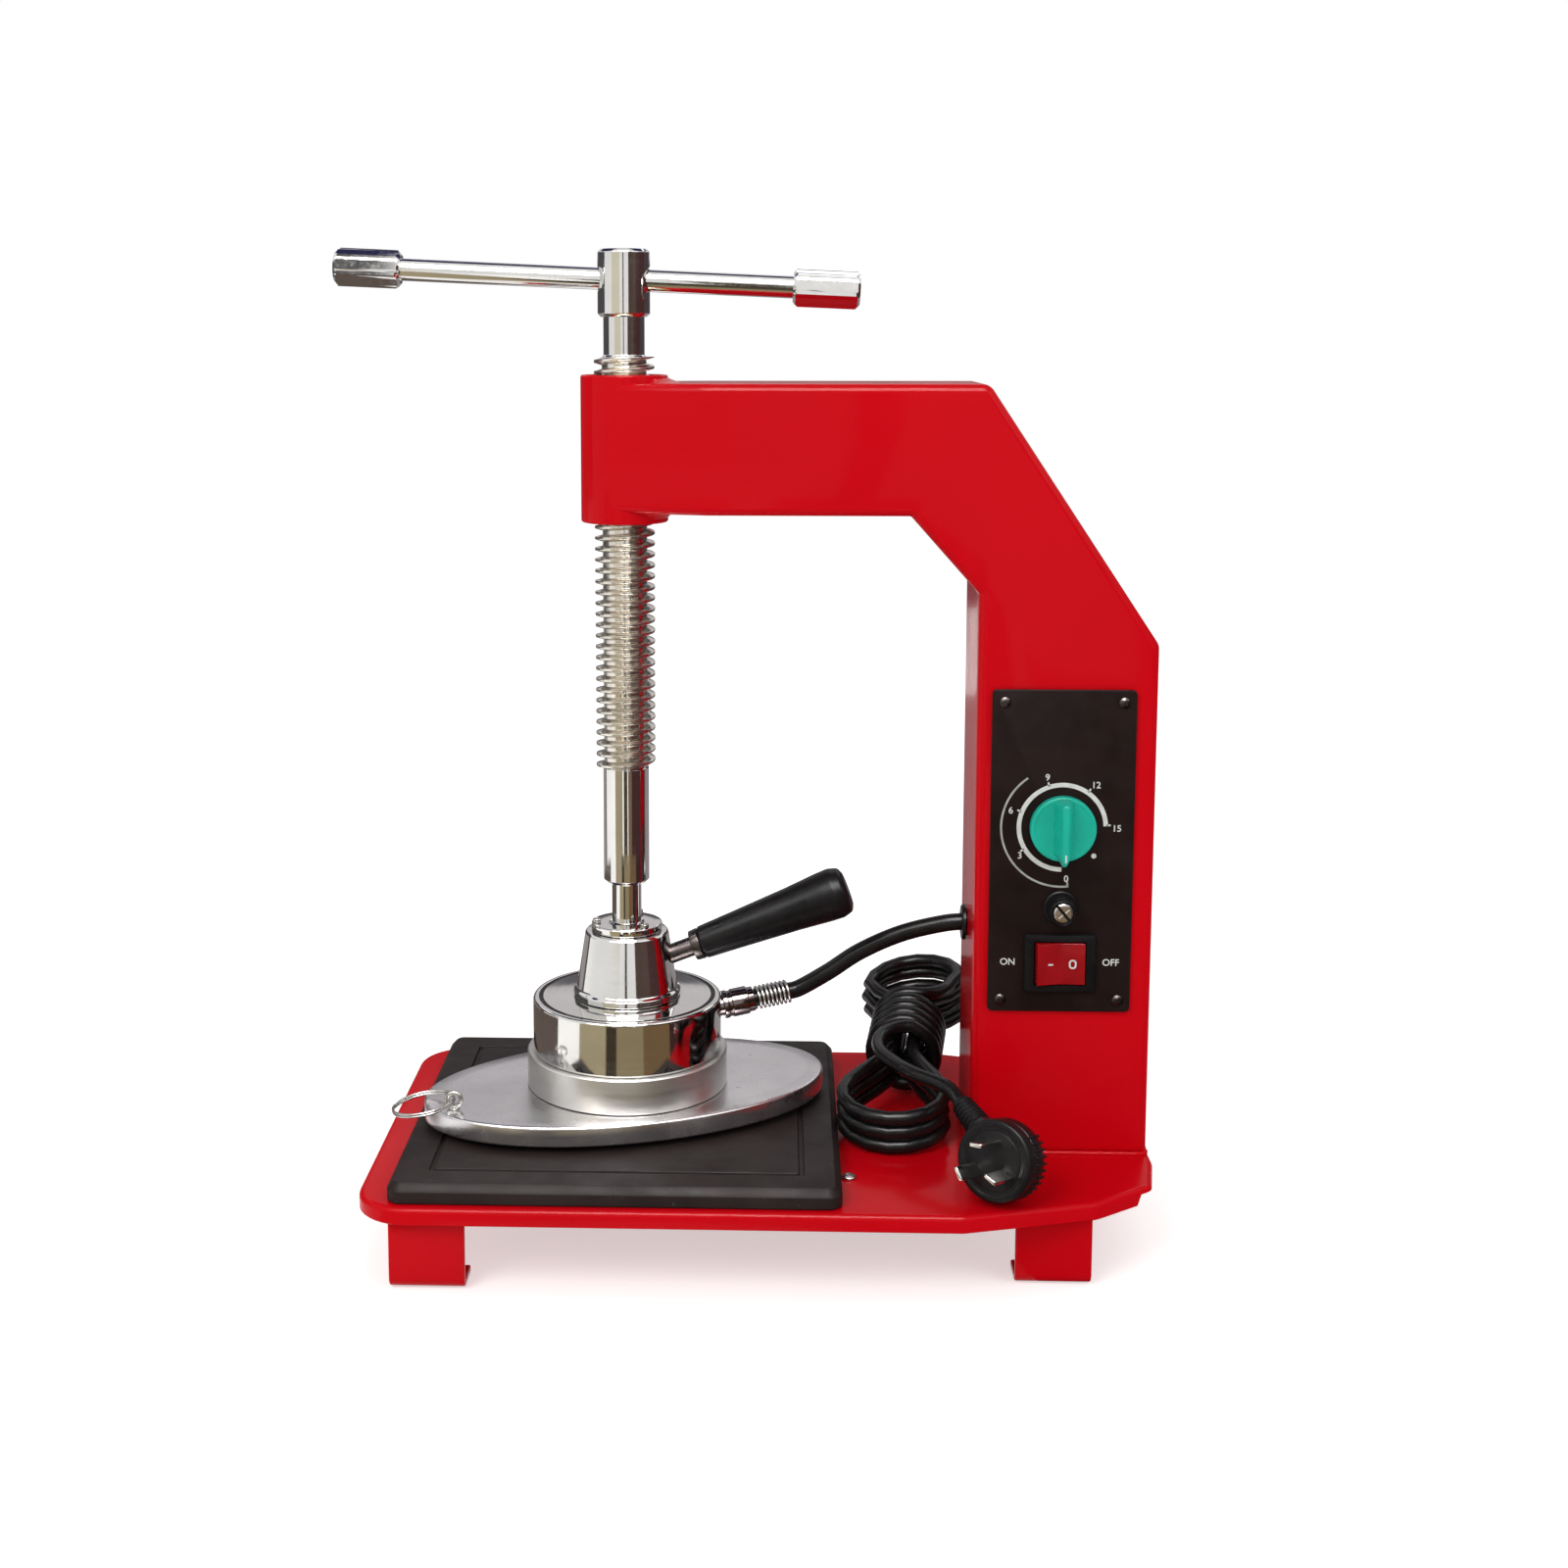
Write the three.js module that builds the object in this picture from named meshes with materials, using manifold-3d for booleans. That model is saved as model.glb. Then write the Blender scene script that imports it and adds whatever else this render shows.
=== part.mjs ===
// A bench press that heats a rubber patch onto a tyre. A hand screw in a C-shaped arm drives a heating head down onto a pad.
// Millimetres, +Z up. X runs along the arm towards the column, Y from front to back, and the feet stand on Z = 0.

import * as THREE from "three";
import { mergeVertices } from "three/addons/utils/BufferGeometryUtils.js";
import Module from "manifold-3d";

const wasm = await Module();
wasm.setup();

// Fits
const seatGap = 0.3; // between faces that meet
const runGap = 0.35; // round a piece that turns or slides
const overrun = 2; // how far a cut runs past the faces it opens

// Facets
const wideSides = 36;
const roundSides = 20;
const smallSides = 12;
const arcSteps = 3;
const mergeReach = 1e-4;
const quarter = Math.PI / 2;
const bevelShare = 1 / 3; // of a two-step edge, taken at its middle

const degree = Math.PI / 180;

// Base and feet
const footHeight = 35.8;
const baseSheet = 3;
const baseLip = 4.6; // below the sheet
const baseLeft = 112; // screw axis to the free end
const baseHalfDepth = 101;
const baseCornerRadius = 24;
const baseTaperRun = 90; // from the column end to where the front edge starts to turn in
const baseKneeRun = 31.5;
const baseKneeInset = 16;
const baseKneeRadius = 14;
const baseTipRun = 5;
const baseTipInset = 36;
const baseTipRadius = 7;
const baseEndInset = 63;
const baseEndRadius = 4;
const baseLipStop = 11; // the lip ends this far short of the column end
const footWidth = 33;
const footStrap = 3;
const footToe = 18;
const footBend = 4.5;
const leftFootFromEnd = 31.8;
const rightFootFromEnd = 49.5;
const leftFootInset = 2.4;
const rightFootInset = 16;

// C frame
const reach = 158.6; // screw axis to the column's inner face
const columnWidth = 79.6;
const columnEndMargin = 1.6;
const frameDepth = 64;
const throatHeight = 290.4; // base to the underside of the arm
const armHeight = 58;
const armStart = 11;
const noseHalf = 19.4; // half the arm's depth where it meets the boss
const noseEnd = 38; // the arm has its full depth from here on
const innerChamferRun = 30.4;
const innerChamferDrop = 34.2;
const outerChamferRun = 76.4;
const outerChamferDrop = 114.6;
const frameWall = 2.5;
const frameBend = 4;
const coverInset = 1; // from the frame's outline
const coverSheet = 1.6;
const tabSize = 24;
const coverScrewInset = 11;
const coverScrewHead = 3.4;
const coverScrewHeadHeight = 2;
const coverArmScrew = 20; // from the cover's free end
const coverScrewShank = 1.6;
const coverScrewLength = 5;

// Boss and nut
const bossRadius = 19.8;
const bossBelow = 5.2; // below the arm
const bossAbove = 3.4; // above the arm
const nutWall = 3;
const nutInset = 1.2; // nut ends inside the boss ends

// Press screw, from the stem up
const screwPitch = 5;
const threadRadius = 13.7;
const threadRoot = 10.1;
const threadLength = 188;
const threadCrestShare = 0.26;
const threadFlankShare = 0.2;
const threadSides = 12;
const shankRadius = 10.6;
const shankLength = 54.6;
const shankChamfer = 1.5;
const stemRadius = 6.9;
const stemLength = 35;
const collarRadius = 11.3;
const collarHeight = 6;
const neckRadius = 9.3;
const neckLength = 18;
const hubRadius = 11.8;
const hubLength = 30;
const hubChamfer = 1.4;
const barHoleAbove = 16.4; // hub foot to the middle of the cross hole

// Tommy bar
const barRadius = 5;
const barHoleSlack = 0.85;
const barTilt = 2.6 * degree;
const barLeft = 130.4; // hub middle to the end of the left end piece
const barRight = 106.2;
const endPieceLength = 30;
const endPieceAcross = 16.5;
const endPieceChamfer = 2;
const endPieceSides = 6;
const endPieceTurn = 10 * degree; // an edge lies this far below the front

// Press pad
const padWidth = 196;
const padDepth = 190;
const padToRight = 0.6; // the pad's middle from the screw axis
const padToFront = 2;
const padHeight = 8.6;
const padBevel = 3;
const padCornerRadius = 6;
const padGrooveInset = 16.2;
const padGrooveWidth = 2.2;
const padGrooveDepth = 1.2;
const padScrewBeside = 3.8; // from the pad's edge
const padScrewForward = 62;
const padScrewHead = 3.2;
const padScrewHeadHeight = 1.8;
const padScrewShank = 1.8;

// Heating head
const pressGap = 2.5; // pad to plate, as photographed
const plateHalfLength = 96;
const plateHalfWidth = 55;
const plateHeight = 9.5;
const plateEdge = 1.3;
const plateTurn = 19.5 * degree;
const ringRadius = 46.8;
const ringBore = 40;
const ringHeight = 16.4;
const drumRadius = 44;
const drumHeight = 25;
const drumWall = 2;
const drumEdge = 2;
const drumHole = 8;
const coneFoot = 25;
const coneFootHeight = 3.2;
const coneTop = 19.5;
const coneHeight = 31;
const coneTopEdge = 0.8;
const coneCavity = 12;
const coneFloor = 9;
const washerHeight = 3.4;
const washerBore = 3;
const flangeRadius = 16.5;
const flangeHeight = 3.4;
const flangeScrews = 3;
const flangeScrewCircle = 14.1;
const flangeScrewTurn = 70 * degree;
const flangeScrewHead = 1.9;
const flangeScrewHeadHeight = 1.6;
const flangeScrewShank = 1;
const flangeScrewLength = 7;
const elementRadius = 39.4;
const elementHeight = 3;
const discHeight = 4;
const thermostatRadius = 8;
const thermostatHeight = 9;
const thermostatOff = 24;

// Handle
const handleLift = 21.4 * degree;
const handleRootAbove = 10.9; // cone foot to where the rod's line meets the axis
const handleRodRadius = 4.5;
const handleRodStart = 15.6;
const gripStart = 37.5;
const gripLength = 73;
const gripSmall = 7.7;
const gripLarge = 11.9;
const gripEdge = 3;
const gripMouthEdge = 0.75;
const gripCrown = 0.5;
const gripQuarterShare = 0.25; // of the swell, a quarter of the way up
const gripMiddleShare = 0.62;
const gripRodDepthShare = 0.86;

// Heater lead, gland and spring
const glandTurn = 12 * degree;
const glandLift = 9 * degree;
const glandBelowRim = 8.5; // drum's top to the gland's middle at the wall
const glandNeck = 4.9;
const glandRadius = 6.6;
const glandLength = 12;
const glandShoulder = 1.65; // drum's wall to the gland's body
const glandNutRadius = 5.8;
const glandNutLength = 3;
const leadRadius = 4;
const leadInGland = 8;
const springCoils = 8;
const springLength = 16;
const springWire = 0.65;
const springSlack = 0.1;
const springSteps = 8;
const springSides = 5;
const leadSides = 10;
const leadHeightAbove = 96.6; // base to the lead's hole in the column
const leadOffset = 8.5;
const leadInColumn = 8;
const grommetFlange = 8.4;
const grommetFlangeHeight = 2;

// Hanging loop on the plate
const eyeAlong = 85;
const eyeAcross = 12;
const eyeRadius = 3.2;
const eyeWire = 1.1;
const eyeStemRadius = 1.7;
const eyeStemDepth = 5;
const loopRadius = 14;
const loopWire = 1.1;
const loopDroop = 9 * degree;
const loopSides = 24;
const wireSides = 6;

// Control panel
const panelWidth = 63.6;
const panelHeight = 146.6;
const panelSheet = 1.6;
const panelAboveBase = 67.8;
const panelOffset = 1.8; // off the column's middle, towards the arm
const panelCornerInset = 5.6;
const panelScrewHead = 2.5;
const panelScrewHeadHeight = 1.3;
const panelScrewShank = 1.4;
const panelScrewLength = 6;
const windowWidth = 50;
const windowHeight = 128;
const knobBelowTop = 61.9;
const knobRadius = 14.6;
const knobDisc = 4.5;
const knobGripWidth = 8.4;
const knobGripHeight = 9;
const knobGripTop = 4.4; // the grip's width at its crest
const knobNoseShare = 0.7; // of the grip's width, left at its round end
const knobPointer = 2.6;
const knobEdge = 0.8;
const shaftRadius = 3;
const shaftInKnob = 9;
const timerWidth = 42;
const timerDepth = 24;
const shaftInTimer = 12;
const fuseBelowTop = 98.4;
const fuseFlange = 7.85;
const fuseFlangeHeight = 1.6;
const fuseBody = 5.9;
const fuseBodyLength = 30;
const fuseBore = 3.6;
const fuseBoreDepth = 26;
const fuseCapRadius = 6.3;
const fuseCapHeight = 8.5;
const fuseCapPlug = 12;
const fuseSlotWidth = 1.4;
const fuseSlotDepth = 1.3;
const fuseSlotTurn = 50 * degree;
const switchBelowTop = 123.8;
const bezelWidth = 32;
const bezelHeight = 26.6;
const bezelSheet = 2.2;
const bezelEdge = 0.9;
const switchWidth = 28;
const switchHeight = 22.4;
const switchDepth = 20;
const rockerWidth = 21.6;
const rockerHeight = 19;
const rockerRise = 3.2;
const rockerDip = 1.5;
const rockerSink = 2.5;
const rockerTilt = 6 * degree;
const rockerPivotIn = 1.4; // bezel face to the pivot
const pocketSlack = 0.5;
const pocketDepth = 6;
const terminalLength = 30;
const terminalDepth = 15;
const terminalHeight = 14;
const terminalSlot = 4;
const terminalSlotDepth = 6;
const terminalWays = 3;
const terminalWay = 5;

// Mains lead
const mainsRadius = 3.3;
const mainsSides = 8;
const reliefAboveBase = 46;
const reliefFromEnd = 17;
const reliefFlange = 8;
const reliefFlangeHeight = 2.5;
const reliefNeck = 6.2;
const reliefRoot = 6.6;
const reliefTip = 4.7;
const reliefLength = 32;
const reliefInside = 6;
const reliefLeadIn = 14;

// Hank of mains lead
const hankLead = 7.1; // from strand to strand
const hankEndRadius = 24;
const hankDraw = 1.6; // how far every second loop is drawn in
const hankFrontX = 124.5;
const hankFrontY = -12;
const hankBackX = 141;
const hankBackY = 97;
const hankTilt = 8.2 * degree;
const hankWaist = 67; // from the front end's centre
const hankWaistFlat = 20; // half the length of the narrow part
const hankWaistHalf = 5.2;
const hankLoops = 3;
const hankLoopSteps = 22;
const hankSides = 6;
const hankRunShare = 0.3;
const hankClimbShare = 0.22;
const wrapTurns = 5;
const wrapHalfWidth = 15.5;
const wrapHalfHeight = 16.5;
const wrapBend = 18;
const wrapBendSteps = 7;
const wrapEndBend = 16;
const wrapEndSteps = 3;
const wrapLeave = 6; // how far before the top's middle the wrap ends
const wrapEnter = 1; // how far before the top's middle the wrap starts

// Plug
const plugX = 168;
const plugY = -82;
const plugRadius = 17.5;
const plugDepth = 20;
const plugFaceEdge = 1.5;
const plugBackEdge = 6;
const plugNeckRadius = 6.5;
const plugNeckTip = 4.8;
const plugNeckLength = 21;
const plugNeckStraight = 5.25; // before the taper
const bladeLength = 17;
const bladeWidth = 6.3;
const bladeThick = 1.6;
const bladeCircle = 8.6;
const bladeTurn = 30 * degree;
const bladeRoot = 3;
const bladeTipRadius = 0.4;

// Places that follow from the sizes
const baseTop = footHeight + baseSheet;
const baseEnd = reach + columnWidth + columnEndMargin;
const columnFar = reach + columnWidth;
const frameFront = -frameDepth / 2;
const frameBack = frameDepth / 2;
const armBottom = baseTop + throatHeight;
const armTop = armBottom + armHeight;
const padTop = baseTop + seatGap + padHeight;
const plateBottom = padTop + pressGap;
const plateTop = plateBottom + plateHeight;
const ringBottom = plateTop + seatGap;
const ringTop = ringBottom + ringHeight;
const drumBottom = ringTop + seatGap;
const drumTop = drumBottom + drumHeight;
const coneBottom = drumTop + seatGap;
const coneUpper = coneBottom + coneHeight;
const cavityFloor = coneBottom + coneFloor;
const washerTop = cavityFloor + seatGap + washerHeight;
const collarBottom = washerTop + seatGap;
const collarTop = collarBottom + collarHeight;
const shankBottom = collarTop + stemLength;
const threadBottom = shankBottom + shankLength;
const neckBottom = threadBottom + threadLength;
const hubBottom = neckBottom + neckLength;
const hubTop = hubBottom + hubLength;
const barHeight = hubBottom + barHoleAbove;
const panelMiddle = reach + columnWidth / 2 - panelOffset;
const panelBottom = baseTop + panelAboveBase;
const panelTop = panelBottom + panelHeight;
const panelBack = frameFront - seatGap;
const panelFront = panelBack - panelSheet;
const fixtureBack = panelFront - seatGap; // back of what sits on the panel

const X = new THREE.Vector3(1, 0, 0);
const Y = new THREE.Vector3(0, 1, 0);
const Z = new THREE.Vector3(0, 0, 1);

// Finishes
function finish(color, roughness, metalness) {
  return () => new THREE.MeshStandardMaterial({ color, roughness, metalness });
}
const redPaint = finish(0xc80a14, 0.25, 0.1);
const chrome = finish(0xd8d4cc, 0.12, 1);
const steel = finish(0xb8b4ac, 0.35, 1);
const aluminium = finish(0xc9c7c2, 0.45, 1);
const castPad = finish(0x2b2728, 0.6, 0);
const blackPanel = finish(0x101112, 0.5, 0);
const blackPlastic = finish(0x18181a, 0.45, 0);
const blackRubber = finish(0x1b1a1b, 0.7, 0);
const greenPlastic = finish(0x1fa38a, 0.4, 0);
const redPlastic = finish(0xd81420, 0.3, 0);
const brass = finish(0xc9a35a, 0.35, 1);
const mica = finish(0xb9ad94, 0.7, 0);

// A three.js geometry as a solid. Its vertices are merged by place, and its faces are turned out.
function solid(geometry) {
  const loose = geometry.index ? geometry.toNonIndexed() : geometry;
  const bare = new THREE.BufferGeometry();
  bare.setAttribute("position", loose.getAttribute("position").clone());
  const merged = mergeVertices(bare, mergeReach);
  const corners = merged.index.array;
  const faces = [];
  for (let i = 0; i < corners.length; i += 3) {
    const [a, b, c] = [corners[i], corners[i + 1], corners[i + 2]];
    if (a !== b && b !== c && c !== a) faces.push(a, b, c);
  }
  const build = (list) =>
    new wasm.Manifold(
      new wasm.Mesh({
        numProp: 3,
        vertProperties: new Float32Array(merged.attributes.position.array),
        triVerts: new Uint32Array(list),
      }),
    );
  const made = build(faces);
  if (made.volume() > 0) return made;
  const turned = [];
  for (let i = 0; i < faces.length; i += 3) turned.push(faces[i], faces[i + 2], faces[i + 1]);
  return build(turned);
}

function cut(body, ...tools) {
  return tools.reduce((left, tool) => left.subtract(tool), body);
}

function join(body, ...more) {
  return more.reduce((whole, piece) => whole.add(piece), body);
}

function piece(name, material, made) {
  const out = made.getMesh();
  const count = out.numProp;
  const place = new Float32Array(out.numVert * 3);
  for (let i = 0; i < out.numVert; i++) {
    place.set(out.vertProperties.subarray(i * count, i * count + 3), i * 3);
  }
  const geometry = new THREE.BufferGeometry();
  geometry.setAttribute("position", new THREE.BufferAttribute(place, 3));
  geometry.setIndex(new THREE.BufferAttribute(out.triVerts, 1));
  geometry.computeVertexNormals();
  const mesh = new THREE.Mesh(geometry, material());
  mesh.name = name;
  return mesh;
}

// A turned solid round +Z, from its profile of [radius, height] pairs. The profile ends on the axis or closes on itself.
function turned(profile, sides = roundSides) {
  const points = profile.map(([radius, height]) => new THREE.Vector2(radius, height));
  if (profile[0][0] > 0) points.push(points[0].clone());
  return solid(new THREE.LatheGeometry(points, sides).rotateX(quarter));
}

function rod(radius, low, high, sides = roundSides) {
  return turned([[0, low], [radius, low], [radius, high], [0, high]], sides);
}

function sleeve(outer, inner, low, high, sides = roundSides) {
  return turned([[inner, low], [outer, low], [outer, high], [inner, high]], sides);
}

const planes = {
  X: new THREE.Matrix4().makeBasis(Y, Z, X),
  Y: new THREE.Matrix4().makeBasis(X, Z, Y.clone().negate()),
  Z: new THREE.Matrix4(),
};

// An outline pushed along an axis. It is drawn in (Y, Z) for X, in (X, Z) for Y and in (X, Y) for Z.
function pushed(outline, axis, low, high, bevel = 0, bevelSteps = 1) {
  const shape = new THREE.Shape(outline);
  const geometry = new THREE.ExtrudeGeometry(shape, {
    depth: high - low - 2 * bevel,
    bevelEnabled: bevel > 0,
    bevelThickness: bevel,
    bevelSize: bevel,
    bevelOffset: -bevel,
    bevelSegments: bevelSteps,
  });
  geometry.applyMatrix4(planes[axis]);
  const start = axis === "Y" ? -high + bevel : low + bevel;
  const way = { X, Y: Y.clone().negate(), Z }[axis];
  geometry.translate(way.x * start, way.y * start, way.z * start);
  return solid(geometry);
}

function rectangle(width, height, middleX = 0, middleY = 0) {
  return [[-1, -1], [1, -1], [1, 1], [-1, 1]].map(
    ([a, b]) => new THREE.Vector2(middleX + (a * width) / 2, middleY + (b * height) / 2),
  );
}

function block(width, depth, height, x, y, z) {
  return solid(new THREE.BoxGeometry(width, depth, height).translate(x, y, z));
}

// A path of corners, each [x, y, radius], with its corners rounded to arcs.
function rounded(corners, closed = true) {
  const points = [];
  corners.forEach(([x, y, radius = 0], i) => {
    const here = new THREE.Vector2(x, y);
    const inner = i > 0 && i < corners.length - 1;
    if (!radius || !(closed || inner)) {
      points.push(here);
      return;
    }
    const [px, py] = corners[(i + corners.length - 1) % corners.length];
    const [nx, ny] = corners[(i + 1) % corners.length];
    const back = new THREE.Vector2(px, py).sub(here).normalize();
    const on = new THREE.Vector2(nx, ny).sub(here).normalize();
    const half = Math.acos(THREE.MathUtils.clamp(back.dot(on), -1, 1)) / 2;
    const middle = here.clone().addScaledVector(back.clone().add(on).normalize(), radius / Math.sin(half));
    const start = here.clone().addScaledVector(back, radius / Math.tan(half)).sub(middle);
    const sweep = Math.PI - 2 * half;
    const sign = Math.sign(back.x * on.y - back.y * on.x) || 1;
    for (let k = 0; k <= arcSteps; k++) {
      points.push(start.clone().rotateAround(new THREE.Vector2(), (-sign * sweep * k) / arcSteps).add(middle));
    }
  });
  return points;
}

// A path moved sideways: to its right for a positive distance, so inwards on a clockwise outline.
function beside(points, distance, closed = true) {
  const last = points.length - 1;
  return points.map((here, i) => {
    const before = closed ? points[(i + last) % points.length] : points[Math.max(i - 1, 0)];
    const after = closed ? points[(i + 1) % points.length] : points[Math.min(i + 1, last)];
    const normals = [[before, here], [here, after]]
      .filter(([a, b]) => a.distanceTo(b) > 0)
      .map(([a, b]) => new THREE.Vector2(b.y - a.y, a.x - b.x).normalize());
    const mean = normals.reduce((sum, n) => sum.add(n), new THREE.Vector2()).normalize();
    return here.clone().addScaledVector(mean, distance / mean.dot(normals[0]));
  });
}

function inset(points, distance) {
  return beside(points, THREE.ShapeUtils.isClockWise(points) ? distance : -distance);
}

// A tube of round section along a curve, with flat ends.
function tubeAlong(curve, radius, sides, steps) {
  const section = new THREE.Shape(
    Array.from({ length: sides }, (_, i) => {
      const a = (2 * Math.PI * i) / sides;
      return new THREE.Vector2(radius * Math.cos(a), radius * Math.sin(a));
    }),
  );
  return solid(new THREE.ExtrudeGeometry(section, { steps, extrudePath: curve, bevelEnabled: false }));
}

// A closed tube through a list of points, joined ring by ring. Each ring stands square to the path.
function strand(points, radius, sides) {
  const rings = [];
  let side = new THREE.Vector3();
  points.forEach((here, i) => {
    const way = points[Math.min(i + 1, points.length - 1)].clone().sub(points[Math.max(i - 1, 0)]).normalize();
    if (i === 0) side = Math.abs(way.z) < 0.9 ? Z.clone() : X.clone();
    side.addScaledVector(way, -side.dot(way)).normalize();
    const over = way.clone().cross(side);
    rings.push(
      Array.from({ length: sides }, (_, k) => {
        const a = (2 * Math.PI * k) / sides;
        return here.clone().addScaledVector(side, radius * Math.cos(a)).addScaledVector(over, radius * Math.sin(a));
      }),
    );
  });
  const faces = [];
  const face = (...corners) => corners.forEach((v) => faces.push(v.x, v.y, v.z));
  for (let i = 0; i + 1 < rings.length; i++) {
    for (let k = 0; k < sides; k++) {
      const [a, b] = [rings[i][k], rings[i][(k + 1) % sides]];
      const [c, d] = [rings[i + 1][k], rings[i + 1][(k + 1) % sides]];
      face(a, b, d);
      face(a, d, c);
    }
  }
  const first = rings[0];
  const last = rings[rings.length - 1];
  for (let k = 1; k + 1 < sides; k++) {
    face(first[0], first[k + 1], first[k]);
    face(last[0], last[k], last[k + 1]);
  }
  const geometry = new THREE.BufferGeometry();
  geometry.setAttribute("position", new THREE.Float32BufferAttribute(faces, 3));
  return solid(geometry);
}

// The least gap between parts of a strand that are more than a few diameters apart along it.
function selfGap(points, radius) {
  let along = 0;
  const places = points.map((p, i) => {
    along += i ? p.distanceTo(points[i - 1]) : 0;
    return along;
  });
  let least = Infinity;
  points.forEach((p, i) => {
    for (let k = i + 1; k + 1 < points.length; k++) {
      if (places[k] - places[i] < 8 * radius) continue;
      const near = new THREE.Line3(points[k], points[k + 1]).closestPointToPoint(p, true, new THREE.Vector3());
      least = Math.min(least, near.distanceTo(p) - 2 * radius);
    }
  });
  return least;
}

// Base

function basePlan() {
  const knee = baseEnd - baseKneeRun;
  const taper = baseEnd - baseTaperRun;
  const front = [
    [-baseLeft, -baseHalfDepth, baseCornerRadius],
    [taper, -baseHalfDepth, 0],
    [knee, -(baseHalfDepth - baseKneeInset), baseKneeRadius],
    [baseEnd - baseTipRun, -(baseHalfDepth - baseTipInset), baseTipRadius],
    [baseEnd, -(baseHalfDepth - baseEndInset), baseEndRadius],
  ];
  const back = front.map(([x, y, radius]) => [x, -y, radius]).reverse();
  return rounded([...front, ...back]);
}

function basePlate() {
  const plan = basePlan();
  const low = footHeight - baseLip;
  const tray = cut(
    pushed(plan, "Z", low, baseTop),
    pushed(inset(plan, baseSheet), "Z", low - overrun, footHeight),
    block(2 * baseLipStop, 3 * baseHalfDepth, 2 * baseLip, baseEnd, 0, footHeight - baseLip),
  );
  return cut(tray, rod(padScrewShank + seatGap, low, baseTop + overrun, smallSides).translate(padScrewPlace()));
}

function padScrewPlace() {
  return [padToRight + padWidth / 2 + padScrewBeside, -padScrewForward, 0];
}

function foot(middle, halfSpan) {
  const path = rounded(
    [
      [-halfSpan + footToe, 0],
      [-halfSpan, 0, footBend],
      [-halfSpan, footHeight - seatGap, footBend],
      [halfSpan, footHeight - seatGap, footBend],
      [halfSpan, 0, footBend],
      [halfSpan - footToe, 0],
    ],
    false,
  );
  const strap = [...path, ...beside(path, footStrap, false).reverse()];
  return pushed(strap, "X", middle - footWidth / 2, middle + footWidth / 2);
}

// C frame

function frameOutline(low) {
  return [
    [reach, low],
    [reach, armBottom - innerChamferDrop],
    [reach - innerChamferRun, armBottom],
    [armStart, armBottom],
    [armStart, armTop],
    [columnFar - outerChamferRun, armTop],
    [columnFar, armTop - outerChamferDrop],
    [columnFar, low],
  ].map(([x, z]) => new THREE.Vector2(x, z));
}

function coverScrewPlaces() {
  const low = baseTop + coverScrewInset;
  const middle = armBottom - innerChamferDrop - coverScrewInset;
  return [
    [reach + coverScrewInset, low],
    [columnFar - coverScrewInset, low],
    [reach + coverScrewInset, middle],
    [noseEnd + coverArmScrew, armTop - coverScrewInset],
  ];
}

function panelScrewPlaces() {
  const x = panelWidth / 2 - panelCornerInset;
  const low = panelBottom + panelCornerInset;
  const high = panelTop - panelCornerInset;
  return [[-x, low], [x, low], [-x, high], [x, high]].map(([dx, z]) => [panelMiddle + dx, z]);
}

const shellBack = frameBack - coverSheet - seatGap;
const leadHeight = baseTop + leadHeightAbove;

// The arm narrows towards the boss. This is its outline from above.
function nosePlan() {
  const far = columnFar + overrun;
  const half = frameDepth / 2;
  const slope = (half - noseHalf) / (noseEnd - armStart);
  const wide = half + frameWall + overrun;
  const full = noseEnd + (wide - half) / slope;
  return [
    [armStart, -noseHalf],
    [full, -wide],
    [far, -wide],
    [far, wide],
    [full, wide],
    [armStart, noseHalf],
  ].map(([x, y]) => new THREE.Vector2(x, y));
}

function frameShell() {
  const outline = frameOutline(baseTop + seatGap);
  const plan = nosePlan();
  const high = armTop + overrun;
  const whole = pushed(outline, "Y", frameFront, frameBack + overrun, frameBend, 2).intersect(
    pushed(plan, "Z", 0, high),
  );
  const hollow = pushed(inset(outline, frameWall), "Y", frameFront + frameWall, frameBack + 2 * overrun).intersect(
    pushed(inset(plan, frameWall), "Z", 0, high),
  );
  const trim = block(3 * columnFar, frameDepth, 3 * armTop, 0, shellBack + frameDepth / 2, armTop);
  const tabs = coverScrewPlaces().map(([x, z]) => {
    const tab = block(tabSize, frameWall, tabSize, x, shellBack - frameWall / 2, z);
    const hole = rod(coverScrewShank + seatGap, -frameWall, frameWall, smallSides).rotate([90, 0, 0]);
    return cut(tab, hole.translate([x, shellBack - frameWall / 2, z]));
  });
  const inside = pushed(outline, "Y", frameFront, frameBack + overrun).intersect(pushed(plan, "Z", 0, high));
  const seat = rod(bossRadius + seatGap, armBottom - overrun, armTop + overrun, wideSides);
  const window = block(
    windowWidth,
    4 * frameWall,
    windowHeight,
    panelMiddle,
    frameFront,
    panelBottom + panelHeight / 2,
  );
  const screwHoles = panelScrewPlaces().map(([x, z]) =>
    rod(panelScrewShank + seatGap, -2 * frameWall, 2 * frameWall, smallSides)
      .rotate([90, 0, 0])
      .translate([x, frameFront, z]),
  );
  const leadHole = rod(grommetNeck() + seatGap, -2 * frameWall, 2 * frameWall, roundSides)
    .rotate([0, 90, 0])
    .translate([reach, leadOffset, leadHeight]);
  const shell = cut(whole, hollow, trim);
  const tabbed = join(shell, ...tabs.map((tab) => tab.intersect(inside)));
  return cut(tabbed, seat, window, leadHole, ...screwHoles);
}

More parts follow.
